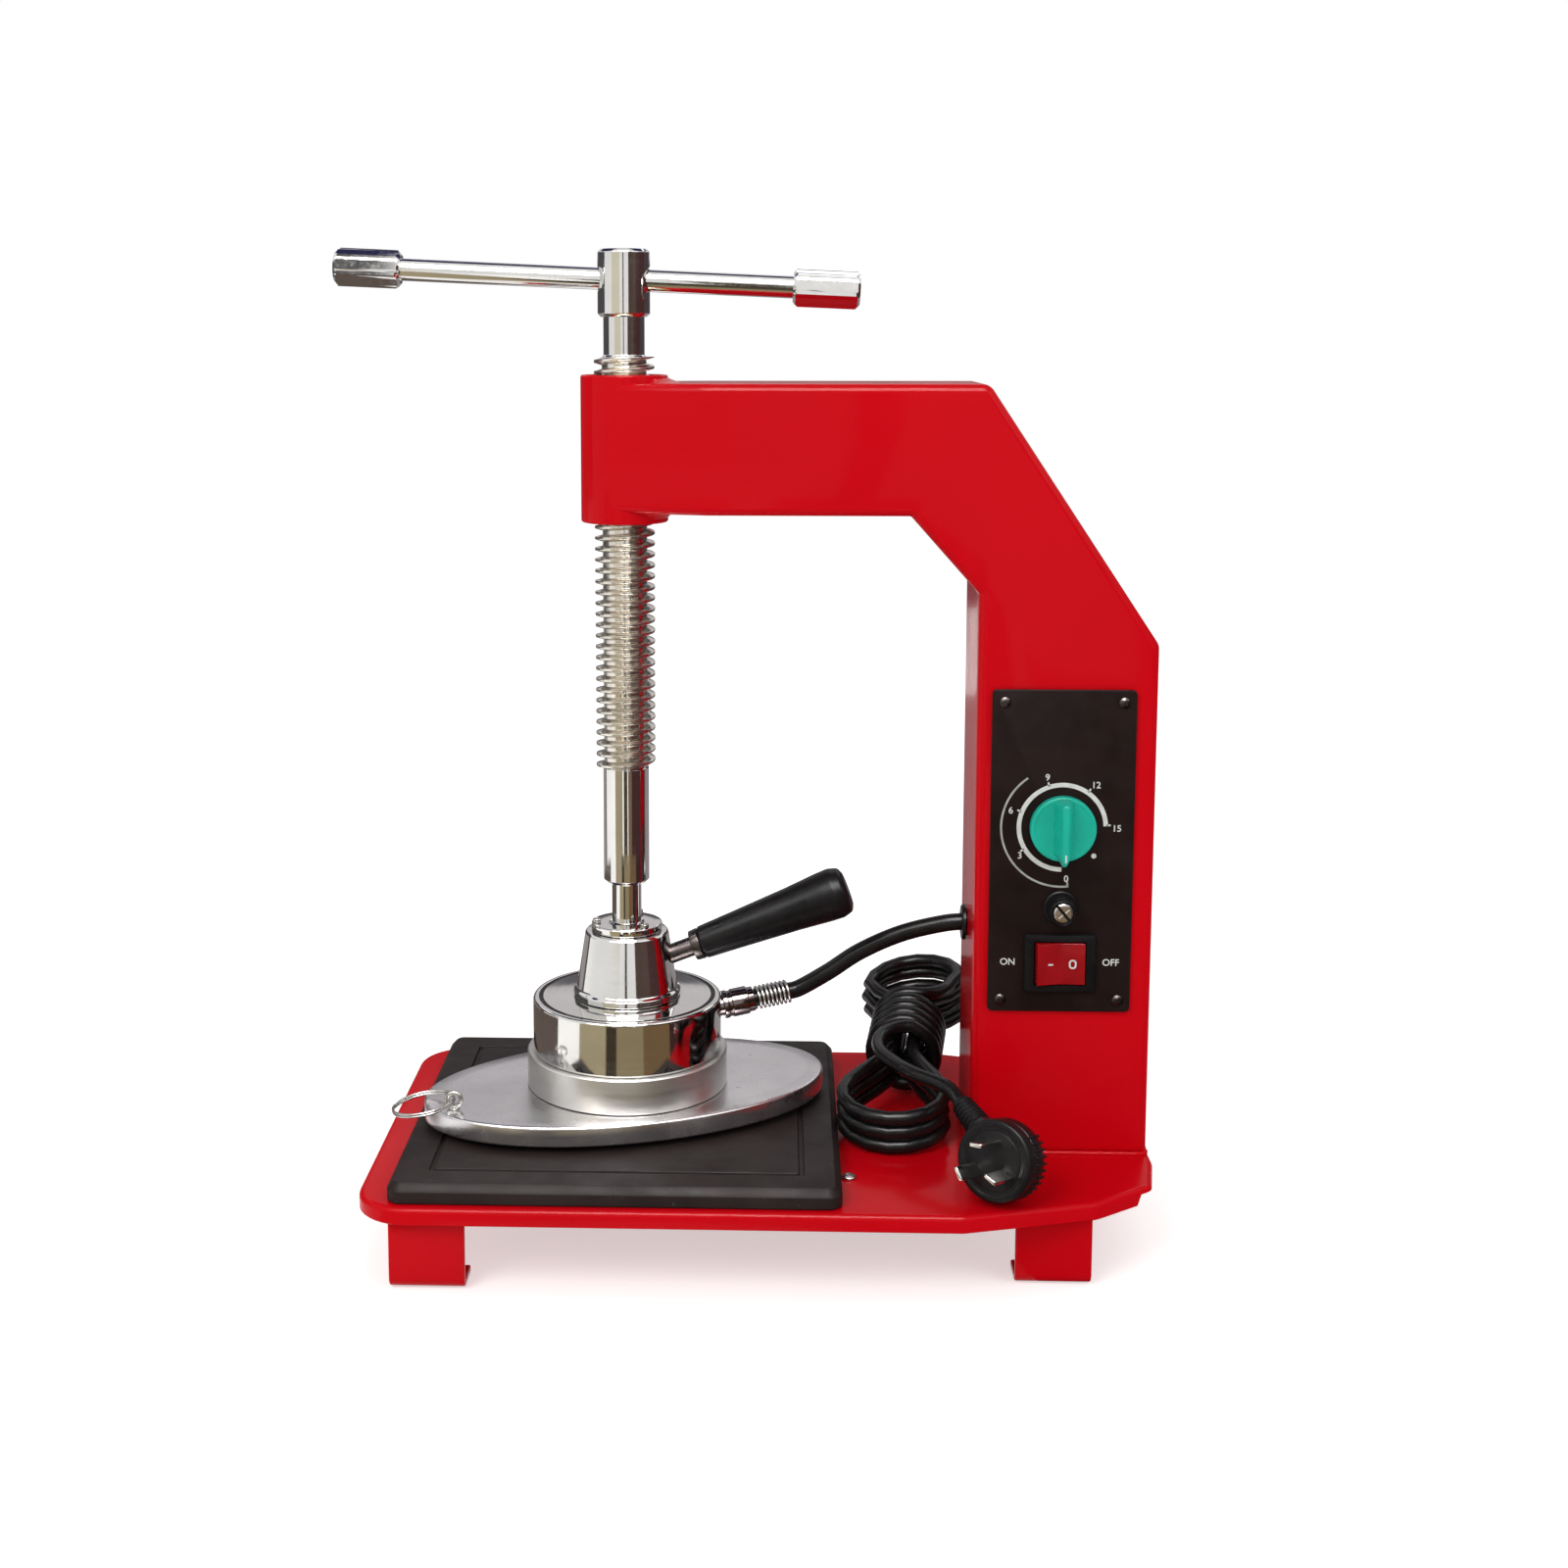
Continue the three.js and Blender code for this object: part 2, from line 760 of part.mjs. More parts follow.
function rearCover() {
  const outline = inset(frameOutline(baseTop + seatGap), coverInset);
  const plate = pushed(outline, "Y", frameBack - coverSheet, frameBack).intersect(
    block(2 * baseEnd, 2 * frameDepth, 3 * armTop, noseEnd + baseEnd, frameBack, 0),
  );
  const holes = coverScrewPlaces().map(([x, z]) =>
    rod(coverScrewShank + seatGap, -overrun, overrun + coverSheet, smallSides)
      .rotate([90, 0, 0])
      .translate([x, frameBack, z]),
  );
  const outlet = rod(reliefNeck + seatGap, -overrun, overrun + coverSheet)
    .rotate([90, 0, 0])
    .translate([reliefX, frameBack, reliefZ]);
  return cut(plate, ...holes, outlet);
}

// A pan-head screw whose head's seat is at height 0 and whose head stands up from it.
function panScrew(headRadius, headHeight, shankRadius, length) {
  const edge = headHeight * bevelShare;
  return turned(
    [
      [0, -length],
      [shankRadius, -length],
      [shankRadius, 0],
      [headRadius, 0],
      [headRadius, headHeight - edge],
      [headRadius - edge, headHeight],
      [0, headHeight],
    ],
    smallSides,
  );
}

function nutBoss() {
  const low = armBottom - bossBelow;
  const high = armTop + bossAbove;
  const bore = threadRadius + runGap + nutWall + seatGap;
  return turned(
    [
      [bore, low],
      [bossRadius - seatGap, low],
      [bossRadius, low + seatGap],
      [bossRadius, high - seatGap],
      [bossRadius - seatGap, high],
      [bore, high],
    ],
    wideSides,
  );
}

function threadNut() {
  const inner = threadRadius + runGap;
  const low = armBottom - bossBelow + nutInset;
  const high = armTop + bossAbove - nutInset;
  return sleeve(inner + nutWall, inner, low, high, wideSides);
}

// Press screw

// A rod with a helical thread: one column of profile points for each side, each a step higher, so the last joins the first.
function threadedRod(root, crest, pitch, length, sides) {
  const flank = threadFlankShare * pitch;
  const land = threadCrestShare * pitch;
  const profile = [
    [root, 0],
    [root, pitch - land - 2 * flank],
    [crest, pitch - land - flank],
    [crest, pitch - flank],
  ];
  const turns = Math.ceil(length / pitch) + 2;
  const columns = [];
  for (let i = 0; i <= sides; i++) {
    const a = (2 * Math.PI * i) / sides;
    const rise = (pitch * i) / sides - pitch;
    const column = [];
    for (let turn = 0; turn < turns; turn++) {
      for (const [radius, height] of profile) {
        const z = turn * pitch + height + rise;
        column.push(new THREE.Vector3(radius * Math.cos(a), radius * Math.sin(a), z));
      }
    }
    columns.push(column);
  }
  const faces = [];
  const face = (...corners) => corners.forEach((v) => faces.push(v.x, v.y, v.z));
  const top = columns[0].length - 1;
  for (let i = 0; i < sides; i++) {
    for (let k = 0; k < top; k++) {
      const [a, b] = [columns[i][k], columns[i + 1][k]];
      const [c, d] = [columns[i][k + 1], columns[i + 1][k + 1]];
      face(a, b, d);
      face(a, d, c);
    }
  }
  const foot = new THREE.Vector3(0, 0, -pitch);
  const head = new THREE.Vector3(0, 0, turns * pitch);
  const steps = profile.length;
  for (let i = 0; i < sides; i++) {
    face(foot, columns[i + 1][0], columns[i][0]);
    face(head, columns[i][top], columns[i + 1][top]);
  }
  for (let k = 0; k < steps; k++) {
    face(foot, columns[0][k], columns[0][k + 1]);
    face(head, columns[sides][top - k], columns[sides][top - k - 1]);
  }
  const geometry = new THREE.BufferGeometry();
  geometry.setAttribute("position", new THREE.Float32BufferAttribute(faces, 3));
  return solid(geometry).intersect(rod(crest + overrun, 0, length));
}

function pressScrew() {
  const thread = threadedRod(threadRoot, threadRadius, screwPitch, threadLength, threadSides);
  const lower = turned([
    [0, collarBottom],
    [collarRadius, collarBottom],
    [collarRadius, collarTop],
    [stemRadius, collarTop],
    [stemRadius, shankBottom],
    [shankRadius - shankChamfer, shankBottom],
    [shankRadius, shankBottom + shankChamfer],
    [shankRadius, threadBottom],
    [threadRoot / 2, threadBottom + overrun],
    [0, threadBottom + overrun],
  ]);
  const upper = turned([
    [0, neckBottom - overrun],
    [threadRoot / 2, neckBottom - overrun],
    [neckRadius, neckBottom],
    [neckRadius, hubBottom],
    [hubRadius - hubChamfer, hubBottom],
    [hubRadius, hubBottom + hubChamfer],
    [hubRadius, hubTop - hubChamfer],
    [hubRadius - hubChamfer, hubTop],
    [0, hubTop],
  ]);
  const hole = rod(barRadius + barHoleSlack, -2 * hubRadius, 2 * hubRadius)
    .rotate([0, 90, 0])
    .translate([0, 0, barHeight]);
  return cut(join(lower, thread.translate([0, 0, threadBottom]), upper), hole);
}

// Tommy bar, drawn along +X with its middle in the hub

function tommyBar() {
  const inEnd = endPieceLength / 2;
  return rod(barRadius, -barLeft + inEnd, barRight - inEnd, roundSides).rotate([0, 90, 0]);
}

function endPiece() {
  const radius = endPieceAcross / 2 / Math.cos(Math.PI / endPieceSides);
  const body = turned(
    [
      [0, 0],
      [radius - endPieceChamfer, 0],
      [radius, endPieceChamfer],
      [radius, endPieceLength - endPieceChamfer],
      [radius - endPieceChamfer, endPieceLength],
      [0, endPieceLength],
    ],
    endPieceSides,
  );
  return cut(body, rod(barRadius + seatGap, -overrun, endPieceLength / 2 + seatGap));
}

// Press pad

function pressPad() {
  const low = baseTop + seatGap;
  const corner = (width, depth) =>
    [[-1, -1], [1, -1], [1, 1], [-1, 1]].map(([a, b]) => [(a * width) / 2, (b * depth) / 2, padCornerRadius]);
  const plan = rounded(corner(padWidth, padDepth));
  const body = pushed(plan, "Z", low - padBevel, padTop, padBevel);
  const under = block(2 * padWidth, 2 * padDepth, 2 * padBevel, 0, 0, low - padBevel);
  const outer = rectangle(padWidth - 2 * padGrooveInset, padDepth - 2 * padGrooveInset);
  const groove = cut(
    pushed(outer, "Z", padTop - padGrooveDepth, padTop + overrun),
    pushed(inset(outer, padGrooveWidth), "Z", padTop - 2 * padGrooveDepth, padTop + 2 * overrun),
  );
  return cut(body, under, groove).translate([padToRight, -padToFront, 0]);
}

// Heating head, drawn with the plate's long axis along X where that matters

function ellipse(a, b, sides) {
  return Array.from({ length: sides }, (_, i) => {
    const t = (2 * Math.PI * i) / sides;
    return new THREE.Vector2(a * Math.cos(t), b * Math.sin(t));
  });
}

function heaterPlate() {
  const plate = pushed(ellipse(plateHalfLength, plateHalfWidth, wideSides), "Z", plateBottom, plateTop, plateEdge);
  const hole = rod(eyeStemRadius + seatGap, plateTop - eyeStemDepth - seatGap, plateTop + overrun, smallSides);
  return cut(plate, hole.translate([-eyeAlong, -eyeAcross, 0]));
}

function heaterRing() {
  return turned(
    [
      [ringBore, ringBottom],
      [ringRadius, ringBottom],
      [ringRadius, ringTop - seatGap],
      [ringRadius - seatGap, ringTop],
      [ringBore, ringTop],
    ],
    wideSides,
  );
}

function heaterDrum() {
  const inner = drumRadius - drumWall;
  const cup = turned(
    [
      [inner, drumBottom],
      [drumRadius, drumBottom],
      [drumRadius, drumTop - drumEdge],
      [drumRadius - drumEdge * bevelShare, drumTop - drumEdge * bevelShare],
      [drumRadius - drumEdge, drumTop],
      [drumHole, drumTop],
      [drumHole, drumTop - drumWall],
      [inner, drumTop - drumWall],
    ],
    wideSides,
  );
  const hole = alongGland(rod(glandNeck + seatGap, drumRadius / 2, 2 * drumRadius));
  return cut(cup, hole);
}

function headCone() {
  const body = turned(
    [
      [0, coneBottom],
      [coneFoot, coneBottom],
      [coneFoot, coneBottom + coneFootHeight],
      [coneTop, coneUpper - coneTopEdge],
      [coneTop - coneTopEdge, coneUpper],
      [coneCavity, coneUpper],
      [coneCavity, cavityFloor],
      [0, cavityFloor],
    ],
    wideSides,
  );
  const rodHole = alongHandle(rod(handleRodRadius + seatGap, handleRodStart - seatGap, 2 * coneFoot));
  const screwHoles = flangeScrewAngles().map((a) =>
    rod(flangeScrewShank + seatGap, coneUpper - flangeScrewLength, coneUpper + overrun, smallSides).translate([
      flangeScrewCircle * Math.cos(a),
      flangeScrewCircle * Math.sin(a),
      0,
    ]),
  );
  return cut(body, rodHole, ...screwHoles);
}

function flangeScrewAngles() {
  return Array.from({ length: flangeScrews }, (_, i) => flangeScrewTurn + (2 * Math.PI * i) / flangeScrews);
}

const flangeBottom = coneUpper + seatGap;
const flangeTop = flangeBottom + flangeHeight;

function coneFlange() {
  const bore = stemRadius + runGap;
  const body = turned([
    [bore, collarTop + runGap],
    [coneCavity - seatGap, collarTop + runGap],
    [coneCavity - seatGap, flangeBottom],
    [flangeRadius, flangeBottom],
    [flangeRadius, flangeTop],
    [bore, flangeTop],
  ]);
  const holes = flangeScrewAngles().map((a) =>
    rod(flangeScrewShank + seatGap, flangeBottom - overrun, flangeTop + overrun, smallSides).translate([
      flangeScrewCircle * Math.cos(a),
      flangeScrewCircle * Math.sin(a),
      0,
    ]),
  );
  return cut(body, ...holes);
}

// The handle's line rises from the axis in the X-Z plane. A solid drawn up +Z is laid along it.
const handleRoot = coneBottom + handleRootAbove;

function alongHandle(made) {
  return made.rotate([0, 90 - handleLift / degree, 0]).translate([0, 0, handleRoot]);
}

function handleGrip() {
  const bore = handleRodRadius + seatGap;
  const depth = gripLength * gripRodDepthShare + seatGap;
  const at = (share) => gripSmall + (gripLarge - gripSmall) * share;
  return turned([
    [bore, 0],
    [at(0) - gripMouthEdge, 0],
    [at(0), gripMouthEdge],
    [at(gripQuarterShare), gripLength / 4],
    [at(gripMiddleShare), gripLength / 2],
    [at(1), gripLength - 2 * gripEdge],
    [at(1) - gripCrown, gripLength - gripEdge],
    [at(1) - gripEdge, gripLength],
    [0, gripLength],
    [0, depth],
    [bore, depth],
  ]);
}

// The gland's line leaves the axis, turned about +Z and raised. A solid drawn up +Z is laid along it.
const glandWall = drumRadius / Math.cos(glandLift);
const glandRoot = drumTop - glandBelowRim - drumRadius * Math.tan(glandLift);

function alongGland(made) {
  return made.rotate([0, 90 - glandLift / degree, 0]).rotate([0, 0, glandTurn / degree]).translate([0, 0, glandRoot]);
}

function glandPoint(distance) {
  const flat = distance * Math.cos(glandLift);
  return new THREE.Vector3(
    flat * Math.cos(glandTurn),
    flat * Math.sin(glandTurn),
    glandRoot + distance * Math.sin(glandLift),
  );
}

const glandFoot = glandWall + glandShoulder;
const glandEnd = glandFoot + glandLength + glandNutLength;
const springStart = glandEnd + seatGap + springWire;
const springEnd = springStart + springLength;

function cableGland() {
  const bore = leadRadius + seatGap;
  const nut = glandFoot + glandLength;
  return turned([
    [bore, glandWall - 2 * drumWall],
    [glandNeck, glandWall - 2 * drumWall],
    [glandNeck, glandFoot],
    [glandRadius, glandFoot],
    [glandRadius, nut],
    [glandNutRadius, nut],
    [glandNutRadius, glandEnd],
    [bore, glandEnd],
  ]);
}

function glandSpring() {
  const radius = leadRadius + seatGap + springWire + springSlack;
  const points = [];
  for (let i = 0; i <= springCoils * springSteps; i++) {
    const a = (2 * Math.PI * i) / springSteps;
    const z = springStart + (springLength * i) / (springCoils * springSteps);
    points.push(new THREE.Vector3(radius * Math.cos(a), radius * Math.sin(a), z));
  }
  return strand(points, springWire, springSides);
}

// The heater lead's route: out of the gland, up in a shallow bow and through the grommet into the column.
function heaterLeadPoints() {
  const end = new THREE.Vector3(reach, leadOffset, leadHeight);
  return [
    glandPoint(glandEnd - leadInGland),
    glandPoint(glandEnd),
    glandPoint(springEnd),
    glandPoint(springEnd + leadRadius),
    new THREE.Vector3(94, 15.4, 108),
    new THREE.Vector3(109, 14.2, 118.6),
    new THREE.Vector3(128, 12, 128.2),
    new THREE.Vector3(145, 9.8, 133.5),
    end.clone().addScaledVector(X, -leadInColumn / 2),
    end.clone().addScaledVector(X, leadInColumn),
  ];
}

function grommetNeck() {
  return leadRadius + seatGap + grommetFlangeHeight;
}

function cableGrommet() {
  const bore = leadRadius + seatGap;
  const neck = grommetNeck();
  const outside = -seatGap;
  const inside = frameWall + seatGap;
  return turned([
    [bore, outside - grommetFlangeHeight],
    [grommetFlange - seatGap, outside - grommetFlangeHeight],
    [grommetFlange, outside - seatGap],
    [grommetFlange, outside],
    [neck, outside],
    [neck, inside],
    [grommetFlange, inside],
    [grommetFlange, inside + grommetFlangeHeight],
    [bore, inside + grommetFlangeHeight],
  ])
    .rotate([0, 90, 0])
    .translate([reach, leadOffset, leadHeight]);
}

function plateEye() {
  const rise = eyeRadius + eyeWire;
  const ring = solid(new THREE.TorusGeometry(eyeRadius, eyeWire, wireSides, smallSides)).rotate([90, 0, 0]);
  const stem = rod(eyeStemRadius, plateTop - eyeStemDepth, plateTop + rise - eyeRadius + eyeWire / 2, smallSides);
  return join(ring.translate([0, 0, plateTop + rise]), stem);
}

function hangingLoop() {
  return solid(new THREE.TorusGeometry(loopRadius, loopWire, wireSides, loopSides)).translate([-loopRadius, 0, 0]);
}

// Control panel. What sits on it is drawn up +Z and turned to face the front.

function facing(made, x, y, z) {
  return made.rotate([90, 0, 0]).translate([x, y, z]);
}

const knobHeight = panelTop - knobBelowTop;
const fuseHeight = panelTop - fuseBelowTop;
const switchHeightAt = panelTop - switchBelowTop;

function controlPanel() {
  const plate = block(
    panelWidth,
    panelSheet,
    panelHeight,
    panelMiddle,
    (panelFront + panelBack) / 2,
    (panelTop + panelBottom) / 2,
  );
  const drilled = (radius, x, z) =>
    facing(rod(radius, -2 * panelSheet, 2 * panelSheet), x, (panelFront + panelBack) / 2, z);
  const slot = block(
    switchWidth + 2 * seatGap,
    4 * panelSheet,
    switchHeight + 2 * seatGap,
    panelMiddle,
    panelFront,
    switchHeightAt,
  );
  return cut(
    plate,
    drilled(shaftRadius + runGap, panelMiddle, knobHeight),
    drilled(fuseBody + seatGap, panelMiddle, fuseHeight),
    slot,
    ...panelScrewPlaces().map(([x, z]) => drilled(panelScrewShank + seatGap, x, z)),
  );
}

function timerBody() {
  const front = panelBack + seatGap;
  const box = block(timerWidth, timerDepth, timerWidth, panelMiddle, front + timerDepth / 2, knobHeight);
  const bore = rod(shaftRadius + runGap, -shaftInTimer - runGap, overrun);
  return cut(box, facing(bore, panelMiddle, front, knobHeight));
}

const shaftStart = -(shaftInTimer + panelBack + seatGap); // distances up the knob's own +Z, which faces the front
const knobFoot = -fixtureBack + runGap;

function timerShaft() {
  return facing(rod(shaftRadius, shaftStart, knobFoot + shaftInKnob), panelMiddle, 0, knobHeight);
}

function timerKnob() {
  const disc = turned([
    [0, knobFoot],
    [knobRadius, knobFoot],
    [knobRadius, knobFoot + knobDisc - knobEdge],
    [knobRadius - knobEdge, knobFoot + knobDisc],
    [0, knobFoot + knobDisc],
  ]);
  const high = knobFoot + knobDisc + knobGripHeight;
  const tip = knobRadius + knobPointer;
  const waist = knobGripWidth / 2;
  const outline = [
    [-waist, knobRadius - waist],
    [-waist * knobNoseShare, knobRadius - knobEdge],
    [waist * knobNoseShare, knobRadius - knobEdge],
    [waist, knobRadius - waist],
    [waist, -knobRadius + waist],
    [0, -tip],
    [-waist, -knobRadius + waist],
  ].map(([x, y]) => new THREE.Vector2(x, y));
  const flanks = [
    [-waist, knobFoot - overrun],
    [waist, knobFoot - overrun],
    [waist, knobFoot + knobDisc],
    [knobGripTop / 2, high],
    [-knobGripTop / 2, high],
    [-waist, knobFoot + knobDisc],
  ].map(([x, z]) => new THREE.Vector2(x, z));
  const wedge = pushed(flanks, "Y", -tip - overrun, tip + overrun);
  const bar = pushed(outline, "Z", knobFoot, high, knobEdge).intersect(wedge);
  const bore = rod(shaftRadius + seatGap, knobFoot - overrun, knobFoot + shaftInKnob + seatGap);
  return facing(cut(join(disc, bar), bore), panelMiddle, 0, knobHeight);
}

const fixtureFoot = -fixtureBack; // height of the panel's fixtures above Y = 0, towards the front

function fuseHolder() {
  const body = turned([
    [0, fixtureFoot - fuseBodyLength],
    [fuseBody, fixtureFoot - fuseBodyLength],
    [fuseBody, fixtureFoot],
    [fuseFlange, fixtureFoot],
    [fuseFlange, fixtureFoot + fuseFlangeHeight],
    [fuseBore, fixtureFoot + fuseFlangeHeight],
    [fuseBore, fixtureFoot + fuseFlangeHeight - fuseBoreDepth],
    [0, fixtureFoot + fuseFlangeHeight - fuseBoreDepth],
  ]);
  return facing(body, panelMiddle, 0, fuseHeight);
}

function fuseCap() {
  const low = fixtureFoot + fuseFlangeHeight + seatGap;
  const high = low + fuseCapHeight;
  const plug = fuseBore - runGap;
  const body = turned([
    [0, low - fuseCapPlug],
    [plug, low - fuseCapPlug],
    [plug, low],
    [fuseCapRadius, low],
    [fuseCapRadius, high - fuseSlotDepth],
    [fuseCapRadius - fuseSlotDepth / 2, high],
    [0, high],
  ]);
  const slot = block(fuseCapRadius, fuseSlotWidth, 2 * fuseSlotDepth, 0, 0, high).rotate([0, 0, -fuseSlotTurn / degree]);
  return facing(cut(body, slot), panelMiddle, 0, fuseHeight);
}

function rockerBezel() {
  const low = fixtureFoot;
  const high = low + bezelSheet;
  const rim = pushed(rectangle(bezelWidth, bezelHeight), "Z", low - bezelEdge, high, bezelEdge);
  const skirt = block(2 * bezelWidth, 2 * bezelHeight, 2 * bezelEdge, 0, 0, low - bezelEdge);
  const box = block(switchWidth, switchHeight, switchDepth, 0, 0, low + bezelEdge - switchDepth / 2);
  const pocket = block(
    rockerWidth + 2 * pocketSlack,
    rockerHeight + 2 * seatGap,
    2 * pocketDepth,
    0,
    0,
    high,
  );
  return facing(cut(join(cut(rim, skirt), box), pocket), panelMiddle, 0, switchHeightAt);
}

// The rocker is drawn in (X, Y) with its pivot at the middle and its face towards -Y.
function rocker() {
  const half = rockerWidth / 2;
  const outline = [
    [-half, rockerSink],
    [-half, -rockerRise],
    [0, -rockerDip],
    [half, -rockerRise],
    [half, rockerSink],
  ].map(([x, y]) => new THREE.Vector2(x, y));
  return pushed(outline, "Z", -rockerHeight / 2, rockerHeight / 2);
}

function terminalBlock() {
  const low = baseTop + seatGap + frameWall + seatGap;
  const middle = reach + columnWidth / 2;
  const body = block(terminalLength, terminalDepth, terminalHeight, middle, 0, low + terminalHeight / 2);
  const pitch = terminalLength / terminalWays;
  const slots = Array.from({ length: terminalWays - 1 }, (_, i) =>
    block(
      terminalSlot,
      2 * terminalDepth,
      2 * terminalSlotDepth,
      middle - terminalLength / 2 + pitch * (i + 1),
      0,
      low + terminalHeight,
    ),
  );
  const ways = Array.from({ length: terminalWays }, (_, i) =>
    rod(terminalWay / 2, -terminalDepth, terminalDepth, smallSides)
      .rotate([90, 0, 0])
      .translate([middle - terminalLength / 2 + pitch * (i + 1 / 2), 0, low + terminalWay]),
  );
  return cut(body, ...slots, ...ways);
}

// Mains lead

const reliefX = columnFar - reliefFromEnd;
const reliefZ = baseTop + reliefAboveBase;
const reliefEnd = frameBack + seatGap + reliefFlangeHeight + reliefLength;

function strainRelief() {
  const bore = mainsRadius + seatGap;
  const root = frameBack + seatGap;
  const body = turned([
    [bore, frameBack - coverSheet - reliefInside],
    [reliefNeck, frameBack - coverSheet - reliefInside],
    [reliefNeck, root],
    [reliefFlange, root],
    [reliefFlange, root + reliefFlangeHeight],
    [reliefRoot, root + reliefFlangeHeight],
    [(reliefRoot + reliefTip) / 2, root + reliefFlangeHeight + reliefLength / 2],
    [reliefTip, reliefEnd],
    [bore, reliefEnd],
  ]);
  return body.rotate([-90, 0, 0]).translate([reliefX, 0, reliefZ]);
}

const hankFront = new THREE.Vector3(
  hankFrontX,
  hankFrontY,
  baseTop + seatGap + mainsRadius + hankEndRadius * Math.sin(hankTilt),
);
const hankFlat = new THREE.Vector3(hankBackX - hankFrontX, hankBackY - hankFrontY, 0);
const hankRun = hankFlat.length() / Math.cos(hankTilt);
const hankAcross = hankFlat.clone().normalize().cross(Z);
const hankAlong = hankFlat.clone().normalize().multiplyScalar(Math.cos(hankTilt)).addScaledVector(Z, Math.sin(hankTilt));
const hankUp = hankAcross.clone().cross(hankAlong);

function hankPlace(across, along, up) {
  return hankFront
    .clone()
    .addScaledVector(hankAcross, across)
    .addScaledVector(hankAlong, along)
    .addScaledVector(hankUp, up);
}

// Half the hank's width at a place along it: full at both ends, and two strands side by side at the waist.
function hankHalf(along) {
  const span = (along < hankWaist ? hankWaist : hankRun - hankWaist) - hankWaistFlat;
  const s = THREE.MathUtils.smoothstep(Math.abs(along - hankWaist) - hankWaistFlat, 0, span);
  return hankWaistHalf + (hankEndRadius - hankWaistHalf) * s;
}

// The lead's place after so many loops: down the right run, round the front, up the left run and round the back.
function hankAt(loops) {
  const phase = loops % 1;
  const drawn = hankDraw * (Math.floor(loops) % 2 ? 1 - phase : phase);
  let layer = 0;
  for (let n = 1; n <= hankLoops; n++) {
    layer += THREE.MathUtils.smoothstep(loops, n - hankClimbShare, n);
  }
  const up = layer * hankLead;
  const side = phase < 0.5 ? 1 : -1;
  const half = phase - (side < 0 ? 0.5 : 0);
  if (half < hankRunShare) {
    const run = (hankRun * half) / hankRunShare;
    const along = side > 0 ? hankRun - run : run;
    return hankPlace(side * (hankHalf(along) - drawn), along, up);
  }
  const a = (Math.PI * (half - hankRunShare)) / (0.5 - hankRunShare);
  const radius = hankEndRadius - drawn;
  const along = side > 0 ? -radius * Math.sin(a) : hankRun + radius * Math.sin(a);
  return hankPlace(side * radius * Math.cos(a), along, up);
}

// After its loops the lead crosses the top, turns to the side and goes round the waist.
const wrapUp = ((hankLoops - 1) / 2) * hankLead;
const wrapHalf = (wrapTurns * hankLead) / 2;

function wrapAt(turns) {
  const a = quarter + 2 * Math.PI * turns;
  const along = hankWaist + wrapHalf - hankLead * turns;
  return hankPlace(wrapHalfWidth * Math.cos(a), along, wrapUp + wrapHalfHeight * Math.sin(a));
}

function hankPoints() {
  const points = Array.from({ length: hankLoops * hankLoopSteps + 1 }, (_, i) => hankAt(i / hankLoopSteps));
  const top = hankLoops * hankLead;
  const turnAlong = hankWaist + wrapHalf + wrapBend;
  for (let i = 0; i < wrapBendSteps; i++) {
    const a = (quarter * i) / wrapBendSteps;
    const height = THREE.MathUtils.lerp(top, wrapUp + wrapHalfHeight, i / wrapBendSteps);
    const across = wrapEnter + wrapBend * Math.cos(a);
    points.push(hankPlace(across, turnAlong - wrapBend * Math.sin(a), height));
  }
  const start = -Math.asin(wrapEnter / wrapHalfWidth) / (2 * Math.PI);
  const end = wrapTurns - Math.asin(wrapLeave / wrapHalfWidth) / (2 * Math.PI);
  const steps = Math.round((end - start) * hankLoopSteps);
  for (let i = 0; i <= steps; i++) points.push(wrapAt(start + ((end - start) * i) / steps));
  return points;
}

const hankLine = hankPoints();
const hankStart = hankLine[0];
const hankStartWay = hankLine[1].clone().sub(hankLine[0]).normalize();
const hankEnd = hankLine[hankLine.length - 1];
const hankEndWay = hankEnd.clone().sub(hankLine[hankLine.length - 2]).normalize();

// The tail's route: out of the strain relief behind the column, round to the left and into the hank's right run.
function tailPoints() {
  const join = hankStart.clone().addScaledVector(hankStartWay, -seatGap);
  return [
    new THREE.Vector3(reliefX, reliefEnd - reliefLeadIn, reliefZ),
    new THREE.Vector3(reliefX, reliefEnd, reliefZ),
    new THREE.Vector3(reliefX - 1, reliefEnd + 20, reliefZ - 1),
    new THREE.Vector3(213, 107, 80.6),
    new THREE.Vector3(200, 121, 73.6),
    new THREE.Vector3(182, 122, 66.6),
    join.clone().addScaledVector(hankStartWay, -2 * mainsRadius),
    join,
  ];
}

// The plug stands on its rim. Its face looks to the left and to the front, and its neck leans back towards the lead.
const plugFaceWay = new THREE.Vector3(-0.55, -0.8, 0.2).normalize();
const plugNeckWay = new THREE.Vector3(-0.4, 0.86, 0.3).normalize();
const plugLean = -Math.asin(plugNeckWay.dot(plugFaceWay));
const plugUp = plugNeckWay.clone().addScaledVector(plugFaceWay, Math.sin(plugLean)).normalize();
const plugLow =
  plugRadius * Math.sqrt(1 - plugFaceWay.z * plugFaceWay.z) + (plugDepth / 2 - plugBackEdge) * plugFaceWay.z;
const plugMiddle = new THREE.Vector3(plugX, plugY, baseTop + seatGap + plugLow);
const neckEnd = plugMiddle.clone().addScaledVector(plugNeckWay, plugRadius + plugNeckLength);

